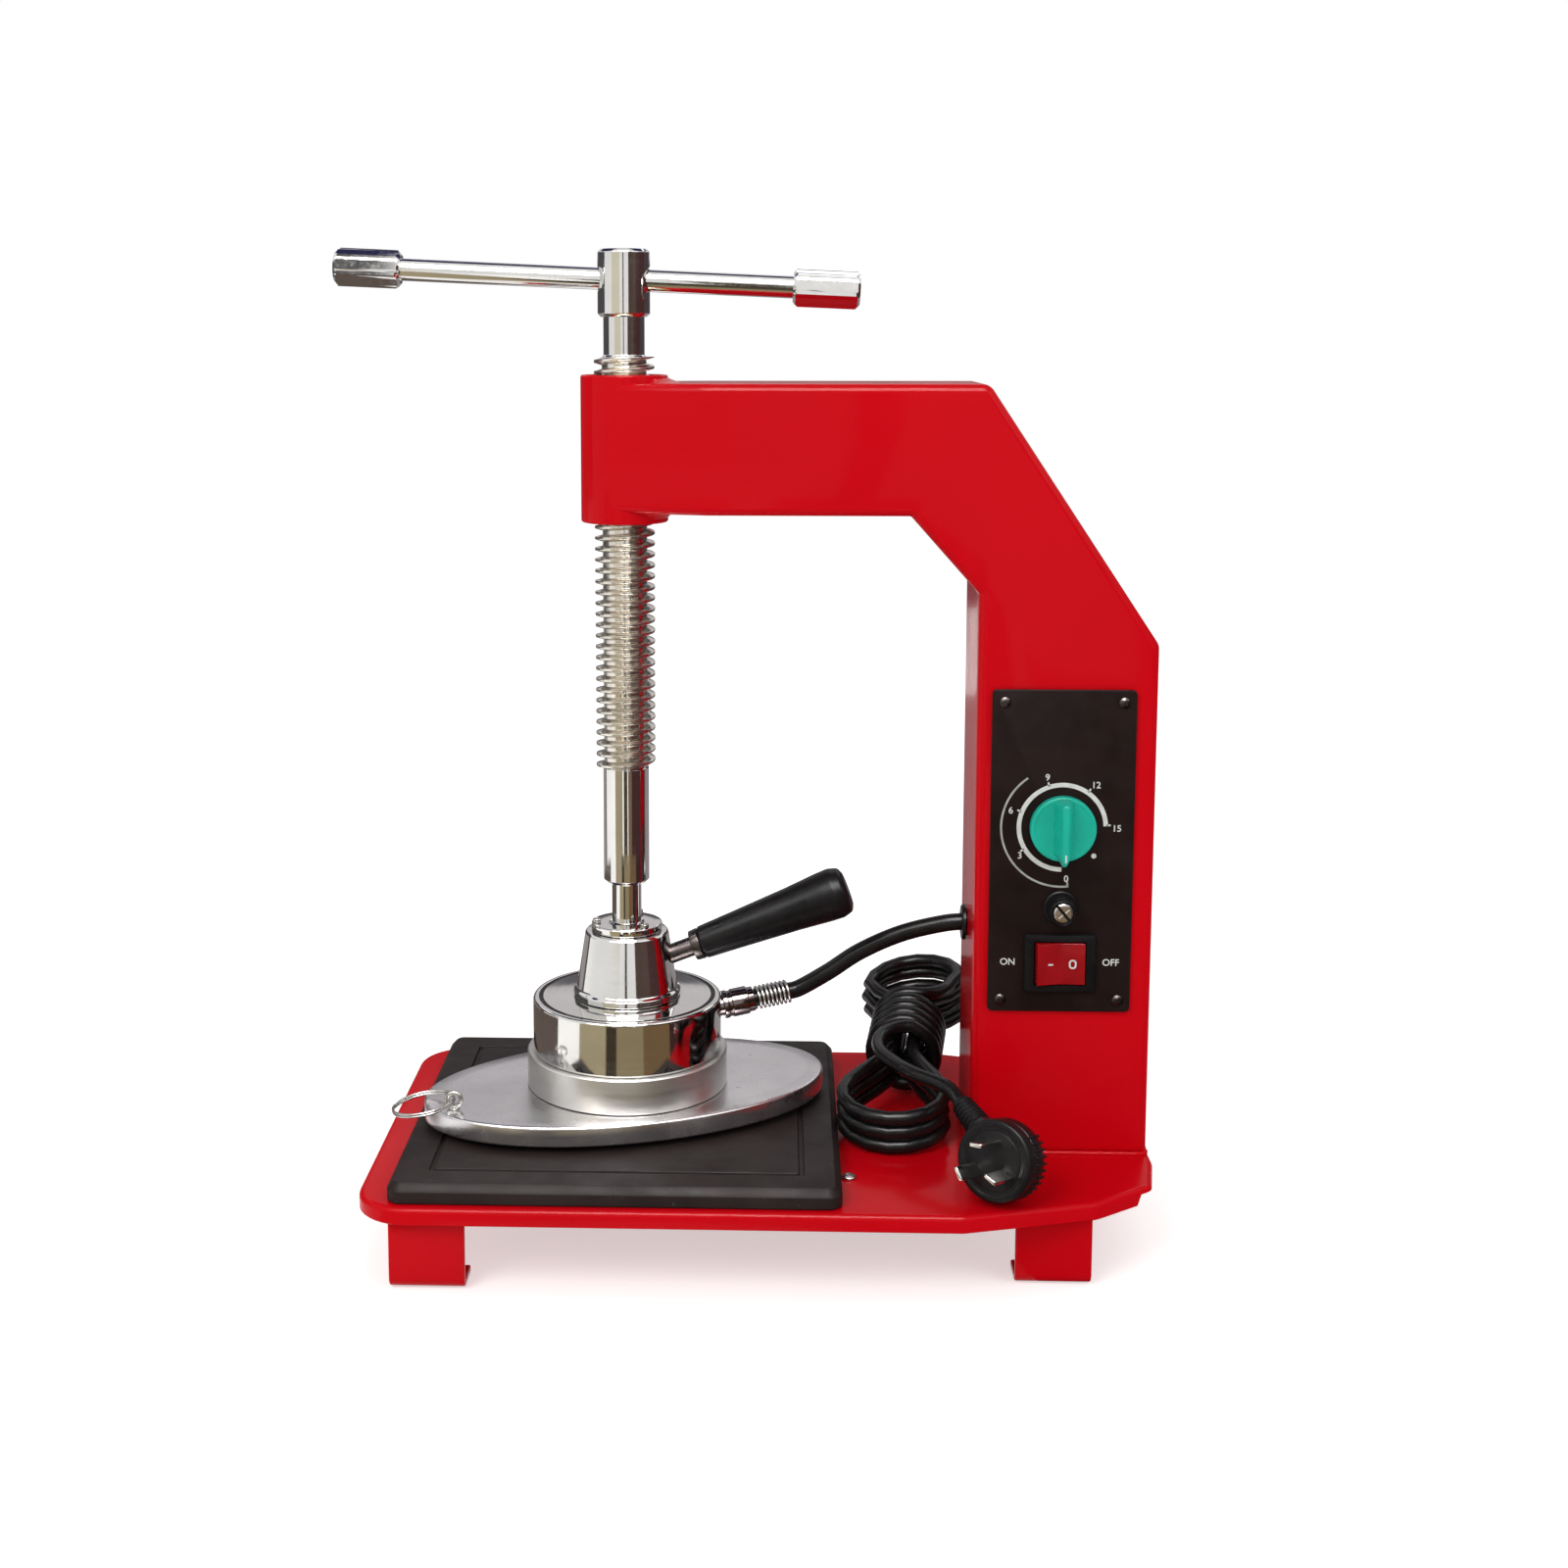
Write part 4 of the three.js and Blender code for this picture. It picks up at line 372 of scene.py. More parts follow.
DARK_STEEL = surface(
    "dark_steel", (0.085, 0.072, 0.07), (0.055, 0.045, 0.045), (0.3, 0.08), (80, 300, 2200), (0.1, 0.02), 1,
)
GLAND_METAL = surface(
    "gland_metal", (0.2, 0.165, 0.16), (0.15, 0.12, 0.12), (0.12, 0.06), (80, 300, 2200), (0.06, 0.01), 1,
)
MICA = surface("mica", (0.46, 0.4, 0.3), (0.34, 0.29, 0.21), (0.6, 0.1), (120, 200, 1500), (0.4, 0.06))

# --- drawing in mm

CORNER_SHARE = 0.49  # of a side, the most that the rounding of one corner may take
STRAIGHT = 1e-3  # radians, a corner this near to straight isn't rounded
LEAST = 1e-6  # a radius or a length that counts
MITRE = 0.2  # the least cosine of half a corner's turn that a moved path follows


def corner_arc(before, here, after, radius, steps):
    """The points of a rounded corner of a flat path."""
    before, here, after = Vector(before), Vector(here), Vector(after)
    back, on = (before - here).normalized(), (after - here).normalized()
    half = math.acos(max(-1, min(1, back.dot(on)))) / 2
    if half > pi / 2 - STRAIGHT:
        return [here]
    run = min(radius / math.tan(half), *((end - here).length * CORNER_SHARE for end in (before, after)))
    middle = here + (back + on).normalized() * run * math.tan(half) / sin(half)
    start, end = here + back * run - middle, here + on * run - middle
    sweep = start.angle(end)
    turns = (sweep * k / steps for k in range(steps + 1))
    return [middle + (start * sin(sweep - a) + end * sin(a)) / sin(sweep) for a in turns]


def rounded(corners, closed=True, steps=4):
    """A flat path of corners (x, y) or (x, y, radius), with its corners rounded."""
    points = []
    last = len(corners) - 1
    for i, (x, y, *radius) in enumerate(corners):
        if not any(radius) or (not closed and i in (0, last)):
            points.append(Vector((x, y)))
        else:
            after = corners[(i + 1) % (last + 1)]
            points += corner_arc(corners[i - 1][:2], (x, y), after[:2], radius[0], steps)
    return points


def offset(points, distance, closed=True):
    """A flat path moved sideways, to its right for a positive distance."""
    result = []
    for i, here in enumerate(points):
        before = points[i - 1] if closed or i else here
        after = points[(i + 1) % len(points)] if closed or i < len(points) - 1 else here
        sides = [b - a for a, b in ((before, here), (here, after)) if (b - a).length > LEAST]
        normals = [Vector((side.y, -side.x)).normalized() for side in sides]
        mean = sum(normals, Vector((0, 0))).normalized()
        result.append(here + mean * distance / max(mean.dot(normals[0]), MITRE))
    return result


def inset(points, distance):
    """A closed flat path moved inwards."""
    area = sum(a.x * b.y - b.x * a.y for a, b in zip(points, points[1:] + points[:1]))
    return offset(points, -distance if area > 0 else distance)


def angles(count):
    return [TAU * k / count for k in range(count)]


def loft(rings, caps=True, closed=False):
    """A skin over rings of points, in which a ring of one point is a pole, with caps or closed to itself."""
    bm = bmesh.new()
    count = max(len(ring) for ring in rings)
    rings = [[bm.verts.new(p) for p in ring] * (count if len(ring) == 1 else 1) for ring in rings]
    for first, second in zip(rings, rings[1:] + rings[:1] if closed else rings[1:]):
        for k in range(count):
            n = (k + 1) % count
            corners = list(dict.fromkeys((first[k], first[n], second[n], second[k])))
            if len(corners) > 2:
                bm.faces.new(corners)
    if caps:
        bm.faces.new(rings[0])
        bm.faces.new(rings[-1])
    return bm


def stacked(levels):
    """A form over flat outlines, each with its height."""
    return loft([[(p.x, p.y, z) for p in outline] for outline, z in levels])


def lathe(profile, segments=96, closed=False, steps=4):
    """A turned form round +Z from (radius, height[, corner radius]) points."""
    rings = []
    for p in rounded(profile, closed, steps):
        rings.append([(p.x * cos(a), p.x * sin(a), p.y) for a in (angles(segments) if p.x > LEAST else [0])])
    return loft(rings, False, closed)


def quarter(radius, steps):
    """(inset, rise) of the rings that round an edge."""
    turns = (pi / 2 * k / steps for k in range(steps + 1))
    return [(radius * (1 - sin(a)), radius * (1 - cos(a))) for a in turns]


def rims(low, high, radius, steps):
    """(inset, height) of the rings of a form whose two rims are rounded."""
    rise = quarter(radius, steps)
    return [(d, low + h) for d, h in rise] + [(d, high - h) for d, h in reversed(rise)]


AXES = {
    "X": lambda a, b, h: (h, a, b),
    "Y": lambda a, b, h: (a, h, b),
    "Z": lambda a, b, h: (a, b, h),
}


def prism(outline, axis, low, high, bevel=0, steps=3):
    """An outline pushed along an axis, with its two rims rounded."""
    levels = rims(low, high, bevel, steps) if bevel else [(0, low), (0, high)]
    return loft([[AXES[axis](p.x, p.y, z) for p in (inset(outline, d) if d else outline)] for d, z in levels])


def box_outline(width, height, radius=0, x=0, y=0, steps=4):
    signs = ((-1, -1), (1, -1), (1, 1), (-1, 1))
    return rounded([(x + i * width / 2, y + j * height / 2, radius) for i, j in signs], True, steps)


def tube(points, radius, sides=16):
    """A round tube through points. radius is one number or one for each point."""
    points = [Vector(p) for p in points]
    radii = radius if isinstance(radius, list) else [radius] * len(points)
    upright = abs((points[1] - points[0]).normalized().z) < 0.9
    side = Vector((0, 0, 1)) if upright else Vector((1, 0, 0))
    rings = []
    for i, here in enumerate(points):
        way = (points[min(i + 1, len(points) - 1)] - points[max(i - 1, 0)]).normalized()
        side = (side - way * side.dot(way)).normalized()
        over = way.cross(side)
        rings.append([here + (side * cos(a) + over * sin(a)) * radii[i] for a in angles(sides)])
    return loft(rings)


def box(width, depth, height, x=0, y=0, z=0, bevel=0):
    """A block round a middle point, with rounded corners and rims."""
    return prism(box_outline(width, depth, bevel * 1.2, x, y), "Z", z - height / 2, z + height / 2, bevel)


def merged(*parts):
    whole = bmesh.new()
    for part in parts:
        mesh = bpy.data.meshes.new("part")
        part.to_mesh(mesh)
        part.free()
        whole.from_mesh(mesh)
        bpy.data.meshes.remove(mesh)
    return whole


def moved(bm, matrix):
    bmesh.ops.transform(bm, matrix=matrix, verts=bm.verts)
    return bm


def piece(name, bm, material, nodes="", body="frame", angle=32):
    """An object from a form in mm, on a body, in the place of nodes. angle is that of its sharp edges."""
    bmesh.ops.recalc_face_normals(bm, faces=bm.faces)
    for v in bm.verts:
        v.co = place(*v.co)
    mesh = bpy.data.meshes.new(name)
    bm.to_mesh(mesh)
    bm.free()
    mesh.polygons.foreach_set("use_smooth", [True] * len(mesh.polygons))
    mesh.set_sharp_from_angle(angle=deg(angle))
    mesh.materials.append(material)
    obj = new_object(name, mesh)
    if body:
        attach(obj, body)
    if nodes:
        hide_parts(*nodes.split())
    return obj


def cut_out(bm, cutter):
    """bm without the volume of cutter."""
    objects = []
    for part in (bm, cutter):
        bmesh.ops.recalc_face_normals(part, faces=part.faces)
        mesh = bpy.data.meshes.new("cut")
        part.to_mesh(mesh)
        part.free()
        objects.append(new_object("cut", mesh))
    modifier = objects[0].modifiers.new("cut", "BOOLEAN")
    modifier.operation = "DIFFERENCE"
    modifier.solver = "EXACT"
    modifier.object = objects[1]
    bpy.context.view_layer.update()
    result = bmesh.new()
    result.from_object(objects[0], bpy.context.evaluated_depsgraph_get())
    for obj in objects:
        mesh = obj.data
        bpy.data.objects.remove(obj)
        bpy.data.meshes.remove(mesh)
    return result


def smooth_path(points, spacing):
    """A centripetal Catmull-Rom curve through points, sampled about every spacing."""
    points = [Vector(p) for p in points]
    ends = [points[0] * 2 - points[1], *points, points[-1] * 2 - points[-2]]
    path = []
    for i in range(len(points) - 1):
        p0, p1, p2, p3 = ends[i : i + 4]
        d0, d1, d2 = (max((b - a).length, LEAST) ** 0.5 for a, b in ((p0, p1), (p1, p2), (p2, p3)))
        t1 = ((p1 - p0) / d0 - (p2 - p0) / (d0 + d1) + (p2 - p1) / d1) * d1
        t2 = ((p2 - p1) / d1 - (p3 - p1) / (d1 + d2) + (p3 - p2) / d2) * d1
        steps = max(1, round((p2 - p1).length / spacing))
        for t in (k / steps for k in range(steps)):
            path.append(p1 + t1 * t + (3 * (p2 - p1) - 2 * t1 - t2) * t * t + (2 * (p1 - p2) + t1 + t2) * t**3)
    return [*path, points[-1]]


def smoothstep(x, low, high):
    t = max(0, min(1, (x - low) / (high - low)))
    return t * t * (3 - 2 * t)


# --- mains cord

BASE_TOP = 34.2
GAP = 0.3  # between pieces that rest on each other
MAINS_R = 3.3
# A loop of the hank climbs by LEAD and draws in by DRAW. It narrows to NARROW at its waist, over FLAT each way.
HANK_LEAD, HANK_R, HANK_DRAW, HANK_NARROW = 7.1, 24, 1.6, 5.2
HANK_TILT, HANK_WAIST, HANK_FLAT = deg(8.2), 67, 20
HANK_LOOPS, HANK_STEPS, RUN_SHARE, CLIMB_SHARE = 3, 40, 0.3, 0.22
WRAP_TURNS, WRAP_W, WRAP_H = 5, 15.5, 16.5
WRAP_BEND, WRAP_END_BEND, WRAP_BEND_STEPS, WRAP_LEAVE, WRAP_ENTER = 18, 16, 7, 6, 1

hank_front = Vector((124.5, -12, BASE_TOP + GAP + MAINS_R + HANK_R * sin(HANK_TILT)))
hank_back = Vector((141, 97, hank_front.z))
hank_run = (hank_back - hank_front).length / cos(HANK_TILT)
hank_across = (hank_back - hank_front).normalized().cross(Vector((0, 0, 1)))
hank_along = (hank_back - hank_front).normalized() * cos(HANK_TILT) + Vector((0, 0, sin(HANK_TILT)))
hank_up = hank_across.cross(hank_along)
wrap_up = (HANK_LOOPS - 1) / 2 * HANK_LEAD
wrap_half = WRAP_TURNS * HANK_LEAD / 2


def hank_place(across, along, up):
    return hank_front + hank_across * across + hank_along * along + hank_up * up


def hank_half(along):
    """Half the width of a loop."""
    span = (HANK_WAIST if along < HANK_WAIST else hank_run - HANK_WAIST) - HANK_FLAT
    return HANK_NARROW + (HANK_R - HANK_NARROW) * smoothstep(abs(along - HANK_WAIST) - HANK_FLAT, 0, span)


def hank_at(loops):
    """The cord's middle after a number of loops: a run, a half circle, the run back and another half circle."""
    phase = loops % 1
    drawn = HANK_DRAW * ((1 - phase) if int(loops) % 2 else phase)
    up = sum(smoothstep(loops, n - CLIMB_SHARE, n) for n in range(1, HANK_LOOPS + 1)) * HANK_LEAD
    side = 1 if phase < 0.5 else -1
    half = phase - (0.5 if side < 0 else 0)
    if half < RUN_SHARE:
        run = hank_run * half / RUN_SHARE
        along = hank_run - run if side > 0 else run
        return hank_place(side * (hank_half(along) - drawn), along, up)
    a = pi * (half - RUN_SHARE) / (0.5 - RUN_SHARE)
    radius = HANK_R - drawn
    along = -radius * sin(a) if side > 0 else hank_run + radius * sin(a)
    return hank_place(side * radius * cos(a), along, up)


def wrap_at(turns):
    """The cord's middle after a number of turns round the hank's waist."""
    a = pi / 2 + TAU * turns
    return hank_place(WRAP_W * cos(a), HANK_WAIST + wrap_half - HANK_LEAD * turns, wrap_up + WRAP_H * sin(a))


def hank_points():
    points = [hank_at(i / HANK_STEPS) for i in range(HANK_LOOPS * HANK_STEPS + 1)]
    top = HANK_LOOPS * HANK_LEAD
    for i in range(WRAP_BEND_STEPS):
        a = pi / 2 * i / WRAP_BEND_STEPS
        along = HANK_WAIST + wrap_half + WRAP_BEND * (1 - sin(a))
        height = top + (wrap_up + WRAP_H - top) * i / WRAP_BEND_STEPS
        points.append(hank_place(WRAP_ENTER + WRAP_BEND * cos(a), along, height))
    start = -math.asin(WRAP_ENTER / WRAP_W) / TAU
    end = WRAP_TURNS - math.asin(WRAP_LEAVE / WRAP_W) / TAU
    steps = round((end - start) * HANK_STEPS)
    return points + [wrap_at(start + (end - start) * i / steps) for i in range(steps + 1)]


hank_line = hank_points()
hank_start_way = (hank_line[1] - hank_line[0]).normalized()
hank_end_way = (hank_line[-1] - hank_line[-2]).normalized()

RELIEF_X, RELIEF_Z, RELIEF_END = 221.2, 80.2, 66.8
PLUG_R, PLUG_DEPTH, PLUG_NECK_LENGTH = 17.5, 20, 21
plug_face_way = Vector((-0.55, -0.8, 0.2)).normalized()
plug_neck_way = Vector((-0.4, 0.86, 0.3)).normalized()
plug_lean = -math.asin(plug_neck_way.dot(plug_face_way))
plug_up = (plug_neck_way + plug_face_way * sin(plug_lean)).normalized()
plug_low = PLUG_R * math.sqrt(1 - plug_face_way.z**2) + (PLUG_DEPTH / 2 - 6) * plug_face_way.z
plug_middle = Vector((168, -82, BASE_TOP + GAP + plug_low))
neck_end = plug_middle + plug_neck_way * (PLUG_R + PLUG_NECK_LENGTH)


def tail_points():
    """From the strain relief to the hank."""
    return [
        (RELIEF_X, RELIEF_END - 14, RELIEF_Z), (RELIEF_X, RELIEF_END, RELIEF_Z),
        (RELIEF_X - 1, RELIEF_END + 20, RELIEF_Z - 1), (213, 107, 76), (200, 121, 69), (182, 122, 62),
        hank_line[0] - hank_start_way * (GAP + 2 * MAINS_R), hank_line[0],
    ]


def plug_lead_points():
    """From the wrap to the plug."""
    top = wrap_up + WRAP_H
    bend = []
    for a in (pi / 6, pi / 3, pi / 2):
        along = HANK_WAIST - wrap_half - WRAP_END_BEND * (1 - cos(a))
        bend.append(hank_place(WRAP_LEAVE - WRAP_END_BEND * sin(a), along, top))
    return [
        hank_line[-1], hank_line[-1] + hank_end_way * (GAP + MAINS_R / 2), *bend, hank_place(-8, 21, top + 0.7),
        hank_place(-1, 9, top + 2), hank_place(9, -4, top + 4), neck_end + plug_neck_way * (GAP + 3 * MAINS_R),
        neck_end + plug_neck_way * GAP,
    ]


def make_mains_cord():
    path = [*smooth_path(tail_points(), 4)[:-1], *hank_line, *smooth_path(plug_lead_points(), 4)[1:]]
    data = bpy.data.curves.new("mains_cord", "CURVE")
    data.dimensions = "3D"
    spline = data.splines.new("POLY")
    spline.points.add(len(path) - 1)
    for point, here in zip(spline.points, path):
        point.co = (*place(*here), 1)
    data.bevel_depth = MAINS_R * MM
    data.bevel_resolution = 5
    data.use_fill_caps = True
    data.materials.append(CORD_BLACK)
    obj = new_object("mains_cord", data)
    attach(obj, "frame")
    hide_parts("mains_tail", "mains_hank", "plug_lead")
    return obj, path


# The plug is drawn with its face towards +Z and its neck towards +Y.
BLADE_CIRCLE, BLADE_HALF, BLADE_LENGTH = 8.6, 3.15, 17
RIB_COUNT, RIB_STEP = 7, 2.5
PLUG_MATRIX = at(*plug_middle) @ Matrix((plug_up.cross(plug_face_way), plug_up, plug_face_way)).transposed().to_4x4()


def make_plug():
    half, r = PLUG_DEPTH / 2, PLUG_R
    body = lathe([
        (0, -half), (r - 6, -half, 2), (r - 1.6, -half + 3, 3), (r - 0.3, -half + 8, 2), (r - 0.3, 2.6, 0.2),
        (r - 0.9, 3, 0.2), (r - 0.3, 3.4, 0.2), (r, 4.4, 0.5), (r, half - 0.2, 1.3), (r - 2.4, half, 0.8),
        (r - 3.2, half - 0.5, 0.2), (0, half - 0.5),
    ], 112)
    neck = [(0, 0), (8.6, 0), (8.2, r - 1, 3), (6.7, r + 2.8, 1)]
    for z in (3 + RIB_STEP * k for k in range(RIB_COUNT)):
        rib = 6.5 - 1.6 * z / PLUG_NECK_LENGTH
        neck += [(rib, r + z, 0.25), (rib, r + z + 1.3, 0.25)]
        neck += [(rib - 0.8, r + z + 1.35, 0.2), (rib - 0.8, r + z + 2.4, 0.2)]
    length = r + PLUG_NECK_LENGTH
    neck = lathe([*neck, (4.6, length - 0.5, 0.4), (3.6, length), (0, length)], 48)
    neck = moved(neck, turn(-90 - math.degrees(plug_lean), "X"))
    insert = [(0, half - 0.5), (12.8, half - 0.5), (12.8, half - 0.3, 0.2), (12.4, half - 0.1), (0, half - 0.1)]
    grips = [moved(box(1.3, 1.2, 9, 0, 0, -1.5, 0.5), turn(a, "Z") @ at(r - 0.35)) for a in range(200, 341, 10)]
    shell = moved(merged(body, neck, lathe(insert, 72), *grips), PLUG_MATRIX)
    pieces = [piece("plug_shell", shell, BLACK_PLASTIC, "plug_body")]
    outline = [(-BLADE_HALF, -3), (BLADE_HALF, -3), (BLADE_HALF, BLADE_LENGTH, 1.2), (-BLADE_HALF, BLADE_LENGTH, 1.2)]
    for name, way, turned in (("earth", -90, 0), ("left", 150, -30), ("right", 30, 30)):
        stand = at(BLADE_CIRCLE * cos(deg(way)), BLADE_CIRCLE * sin(deg(way)), half) @ turn(turned, "Z")
        blade = moved(prism(rounded(outline), "X", -0.8, 0.8, 0.35), PLUG_MATRIX @ stand)
        pieces.append(piece("blade_" + name, blade, NICKEL, "plug_blade_" + name))
    return pieces


mains_cord, mains_path = make_mains_cord()
plug_pieces = make_plug()

# --- heater lead

GLAND_TURN, GLAND_LIFT = 12, 9  # degrees
GLAND_MATRIX = at(z=97.1 - 8.5 - 44 * math.tan(deg(GLAND_LIFT))) @ turn(GLAND_TURN, "Z") @ turn(90 - GLAND_LIFT, "Y")
LEAD_R = 4
LEAD_SPLIT = 106  # the lead's two halves meet here, before the column


def gland_point(distance):
    return GLAND_MATRIX @ Vector((0, 0, distance))


def make_heater_lead():
    points = [gland_point(distance) for distance in (53.2, 61.2, 78.15, 82.15)]
    points += [(94, 15.4, 103.4), (109, 14.2, 114), (128, 12, 123.6), (145, 9.8, 128.9), (154.6, 8.5, 130.8)]
    path = smooth_path([*points, (166.6, 8.5, 130.8)], 2)
    split = min(range(len(path)), key=lambda i: abs(path[i].x - LEAD_SPLIT))
    near, far = path[: split + 1], path[split:]
    first = piece("heater_lead_head_side", tube(near, LEAD_R, 24), CORD_BLACK, "", None, angle=60)
    second = piece("heater_lead_column_side", tube(far, LEAD_R, 24), CORD_BLACK, "heater_lead", None, angle=60)
    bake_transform(first)
    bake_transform(second)
    for half, part in ((second, far), (first, near)):
        path = [place(*p) for p in reversed(part)]


make_heater_lead()

# --- screws and base

BASE_END, BASE_FRONT, BASE_LEFT = 239.8, -101, -112
BASE_BEND, BASE_SHEET = 2.6, 3
LIP_END, LIP_DROP = BASE_END - 11, 7.6  # the lip is turned down as far as here
LIP_NUDGE = 0.04  # of a side of the plan, before and after the lip's end


def pan_screw(radius, height):
    """A pan head that stands up from Z = 0, with a cross recess in it."""
    head = lathe([
        (0, -0.6), (radius * 0.9, -0.6), (radius, 0.05, 0.1), (radius, height * 0.45, radius * 0.35),
        (radius * 0.45, height, radius * 0.4), (0, height),
    ], 40)
    wide, long = radius * 0.3, radius * 1.25
    head = cut_out(head, box(long, wide, height, 0, 0, height))
    return cut_out(head, box(wide, long, height, 0, 0, height))


def make_base():
    front = [
        (BASE_LEFT, BASE_FRONT, 24), (BASE_END - 90, BASE_FRONT, 12), (BASE_END - 31.5, -85, 14),
        (BASE_END - 5, -65, 7), (BASE_END, -38, 4),
    ]
    plan = rounded([*front, *[(x, -y, r) for x, y, r in reversed(front)]], True, 10)
    points = []
    for a, b in zip(plan, plan[1:] + plan[:1]):
        points.append(a)
        if (a.x - LIP_END) * (b.x - LIP_END) < 0:
            t = (LIP_END - a.x) / (b.x - a.x)
            points += [a + (b - a) * (t + nudge) for nudge in (-LIP_NUDGE, LIP_NUDGE)]
    low = [BASE_TOP - (BASE_SHEET if p.x > LIP_END else LIP_DROP) for p in points]
    rings = [
        [(p.x, p.y, BASE_TOP - drop) for p in inset(points, distance)] for distance, drop in quarter(BASE_BEND, 6)
    ]
    for outline, heights in (
        (points, [z + 0.5 for z in low]),
        (inset(points, 0.5), low),
        (inset(points, BASE_SHEET - 0.4), low),
        (inset(points, BASE_SHEET), [max(z, BASE_TOP - BASE_SHEET - 0.01) for z in low]),
    ):
        rings.append([(p.x, p.y, z) for p, z in zip(outline, heights)])
    piece("base_tray", loft(rings), RED_PAINT, "base_plate", angle=34)


def make_foot(name, middle, half):
    top, sheet_depth, toe, bend, wide = 30.9, 3, 18, 5, 16.5
    corners = [(-half + toe, -DATUM), (-half, -DATUM, bend), (-half, top, bend)]
    path = rounded([*corners, (half, top, bend), (half, -DATUM, bend), (half - toe, -DATUM)], False, 8)
    strap = [*path, *reversed(offset(path, sheet_depth, False))]
    strap = prism(strap, "X", middle - wide, middle + wide, 0.7)
    piece(name + "_strap", strap, RED_PAINT, name, angle=34)


def make_pad():
    width, depth, corner, low, high = 196, 190, 6.5, BASE_TOP + GAP, 43.1
    levels = [(0.4, low), (0, low + 0.4)]
    for inwards, down in (
        (0, 3.4), (0.35, 2.7), (2.5, 0.45), (3.1, 0), (15.9, 0), (16.2, 0.3), (16.5, 1.2), (18.2, 1.2), (18.5, 0.3),
        (18.8, 0), (40, 0),
    ):
        levels.append((inwards, high - down))
    outlines = [
        (box_outline(width - 2 * d, depth - 2 * d, max(corner - d, 1), 0.6, -2, 6), z) for d, z in levels
    ]
    piece("pad_plate", stacked(outlines), PAD_BLACK, "press_pad", angle=25)


make_base()
make_foot("left_foot", -80.2, 95.3)
make_foot("right_foot", 190.3, 81.7)
make_pad()
base_screw = moved(pan_screw(3.2, 1.8), at(102.4, -62, BASE_TOP + GAP) @ turn(25, "Z"))
piece("base_screw_head", base_screw, STEEL, "base_screw")

# --- C frame

ARM_BOTTOM, ARM_TOP = 324.6, 382.6
FOLD_X = 38  # the arm narrows from here to the boss
NOSE_X, NOSE_HALF, NOSE_SLOPE = -5.66, 18.97, 0.2985
SHELL_HALF, SHELL_BACK, SHELL_WALL = 32, 30.1, 2.5
FRAME_BEND, FRAME_FOLD, FRAME_WIDE_FOLD = 4, 1.6, 6
WELD_SPREAD, WELD_FADE, WELD_STEPS, WELD_LEVELS = 62, 14, 48, 8
BEAD_R, BEAD_SWING, BEAD_WAVE, BEAD_STEP, BEAD_LIFT = 1.35, 0.16, 2.4, 2.2, 0.45


def half_depth(x):
    return min(SHELL_HALF, NOSE_HALF + (x - NOSE_X) * NOSE_SLOPE)


def make_shell():
    start, back_x = NOSE_X - FRAME_BEND, NOSE_X + (SHELL_BACK - NOSE_HALF) / NOSE_SLOPE
    outline = rounded([
        (158.6, 34.5), (158.6, 290.4, FRAME_FOLD), (128.2, 324.6, FRAME_FOLD), (FOLD_X, ARM_BOTTOM),
        (back_x, ARM_BOTTOM), (start, ARM_BOTTOM), (start, ARM_TOP), (back_x, ARM_TOP), (FOLD_X, ARM_TOP),
        (161.8, ARM_TOP, FRAME_WIDE_FOLD), (238.2, 268, FRAME_WIDE_FOLD), (238.2, 34.5),
    ], True, 8)
    rings = []
    for inwards, back in quarter(FRAME_BEND, 7):
        rings.append([(p.x, back - half_depth(p.x), p.y) for p in inset(outline, inwards)])
    rings.append([(p.x, min(SHELL_BACK, half_depth(p.x)), p.y) for p in outline])
    bm = loft(rings, False)
    vertices = list(bm.verts)

    def split(ring, x):
        """The two parts of a ring between its points under and over x on the arm."""
        ends = [min(ring, key=lambda v: (v.co.x - x) ** 2 + (v.co.z - z) ** 2) for z in (ARM_BOTTOM, ARM_TOP)]
        i, j = sorted(ring.index(v) for v in ends)
        return ring[i : j + 1], ring[j:] + ring[: i + 1]

    for part in split(vertices[: len(outline)], FOLD_X):
        bm.faces.new(part)
    bm.faces.new(split(vertices[-len(outline) :], back_x)[0])
    shell = piece("shell_skin", bm, RED_PAINT, "frame_shell", angle=30)
    wall = shell.modifiers.new("wall", "SOLIDIFY")
    wall.thickness = SHELL_WALL * MM
    wall.offset = -1


def make_boss():
    bore, radius, low, high = 17.35, 19.8, 319.4, 386
    parts = [lathe([(bore, low, 0.4), (radius, low, 1), (radius, high, 1), (bore, high, 0.4)], 128, True)]
    for level, out, sign in ((ARM_TOP, 28.5, 1), (ARM_BOTTOM, 25.5, -1)):
        rise = (high - 0.8 - ARM_TOP) if sign > 0 else (ARM_BOTTOM - low - 1)
        rings = []
        for k in range(WELD_STEPS + 1):
            a = -WELD_SPREAD + 2 * WELD_SPREAD * k / WELD_STEPS
            edge = min(1, (WELD_SPREAD - abs(a)) / WELD_FADE)
            profile = []
            for s in (t / WELD_LEVELS for t in range(WELD_LEVELS + 1)):
                reach = radius - 0.6 + (out - radius) * s * (0.35 + 0.65 * edge)
                profile.append((reach, level + sign * (rise * (1 - s) ** 1.7 * edge - 0.25)))
            profile.append((radius * 0.9, level - sign * 2))
            rings.append([(reach * cos(deg(a)), reach * sin(deg(a)), z) for reach, z in profile])
        parts.append(loft(rings))
    piece("boss_sleeve", merged(*parts), RED_PAINT, "nut_boss", angle=36)


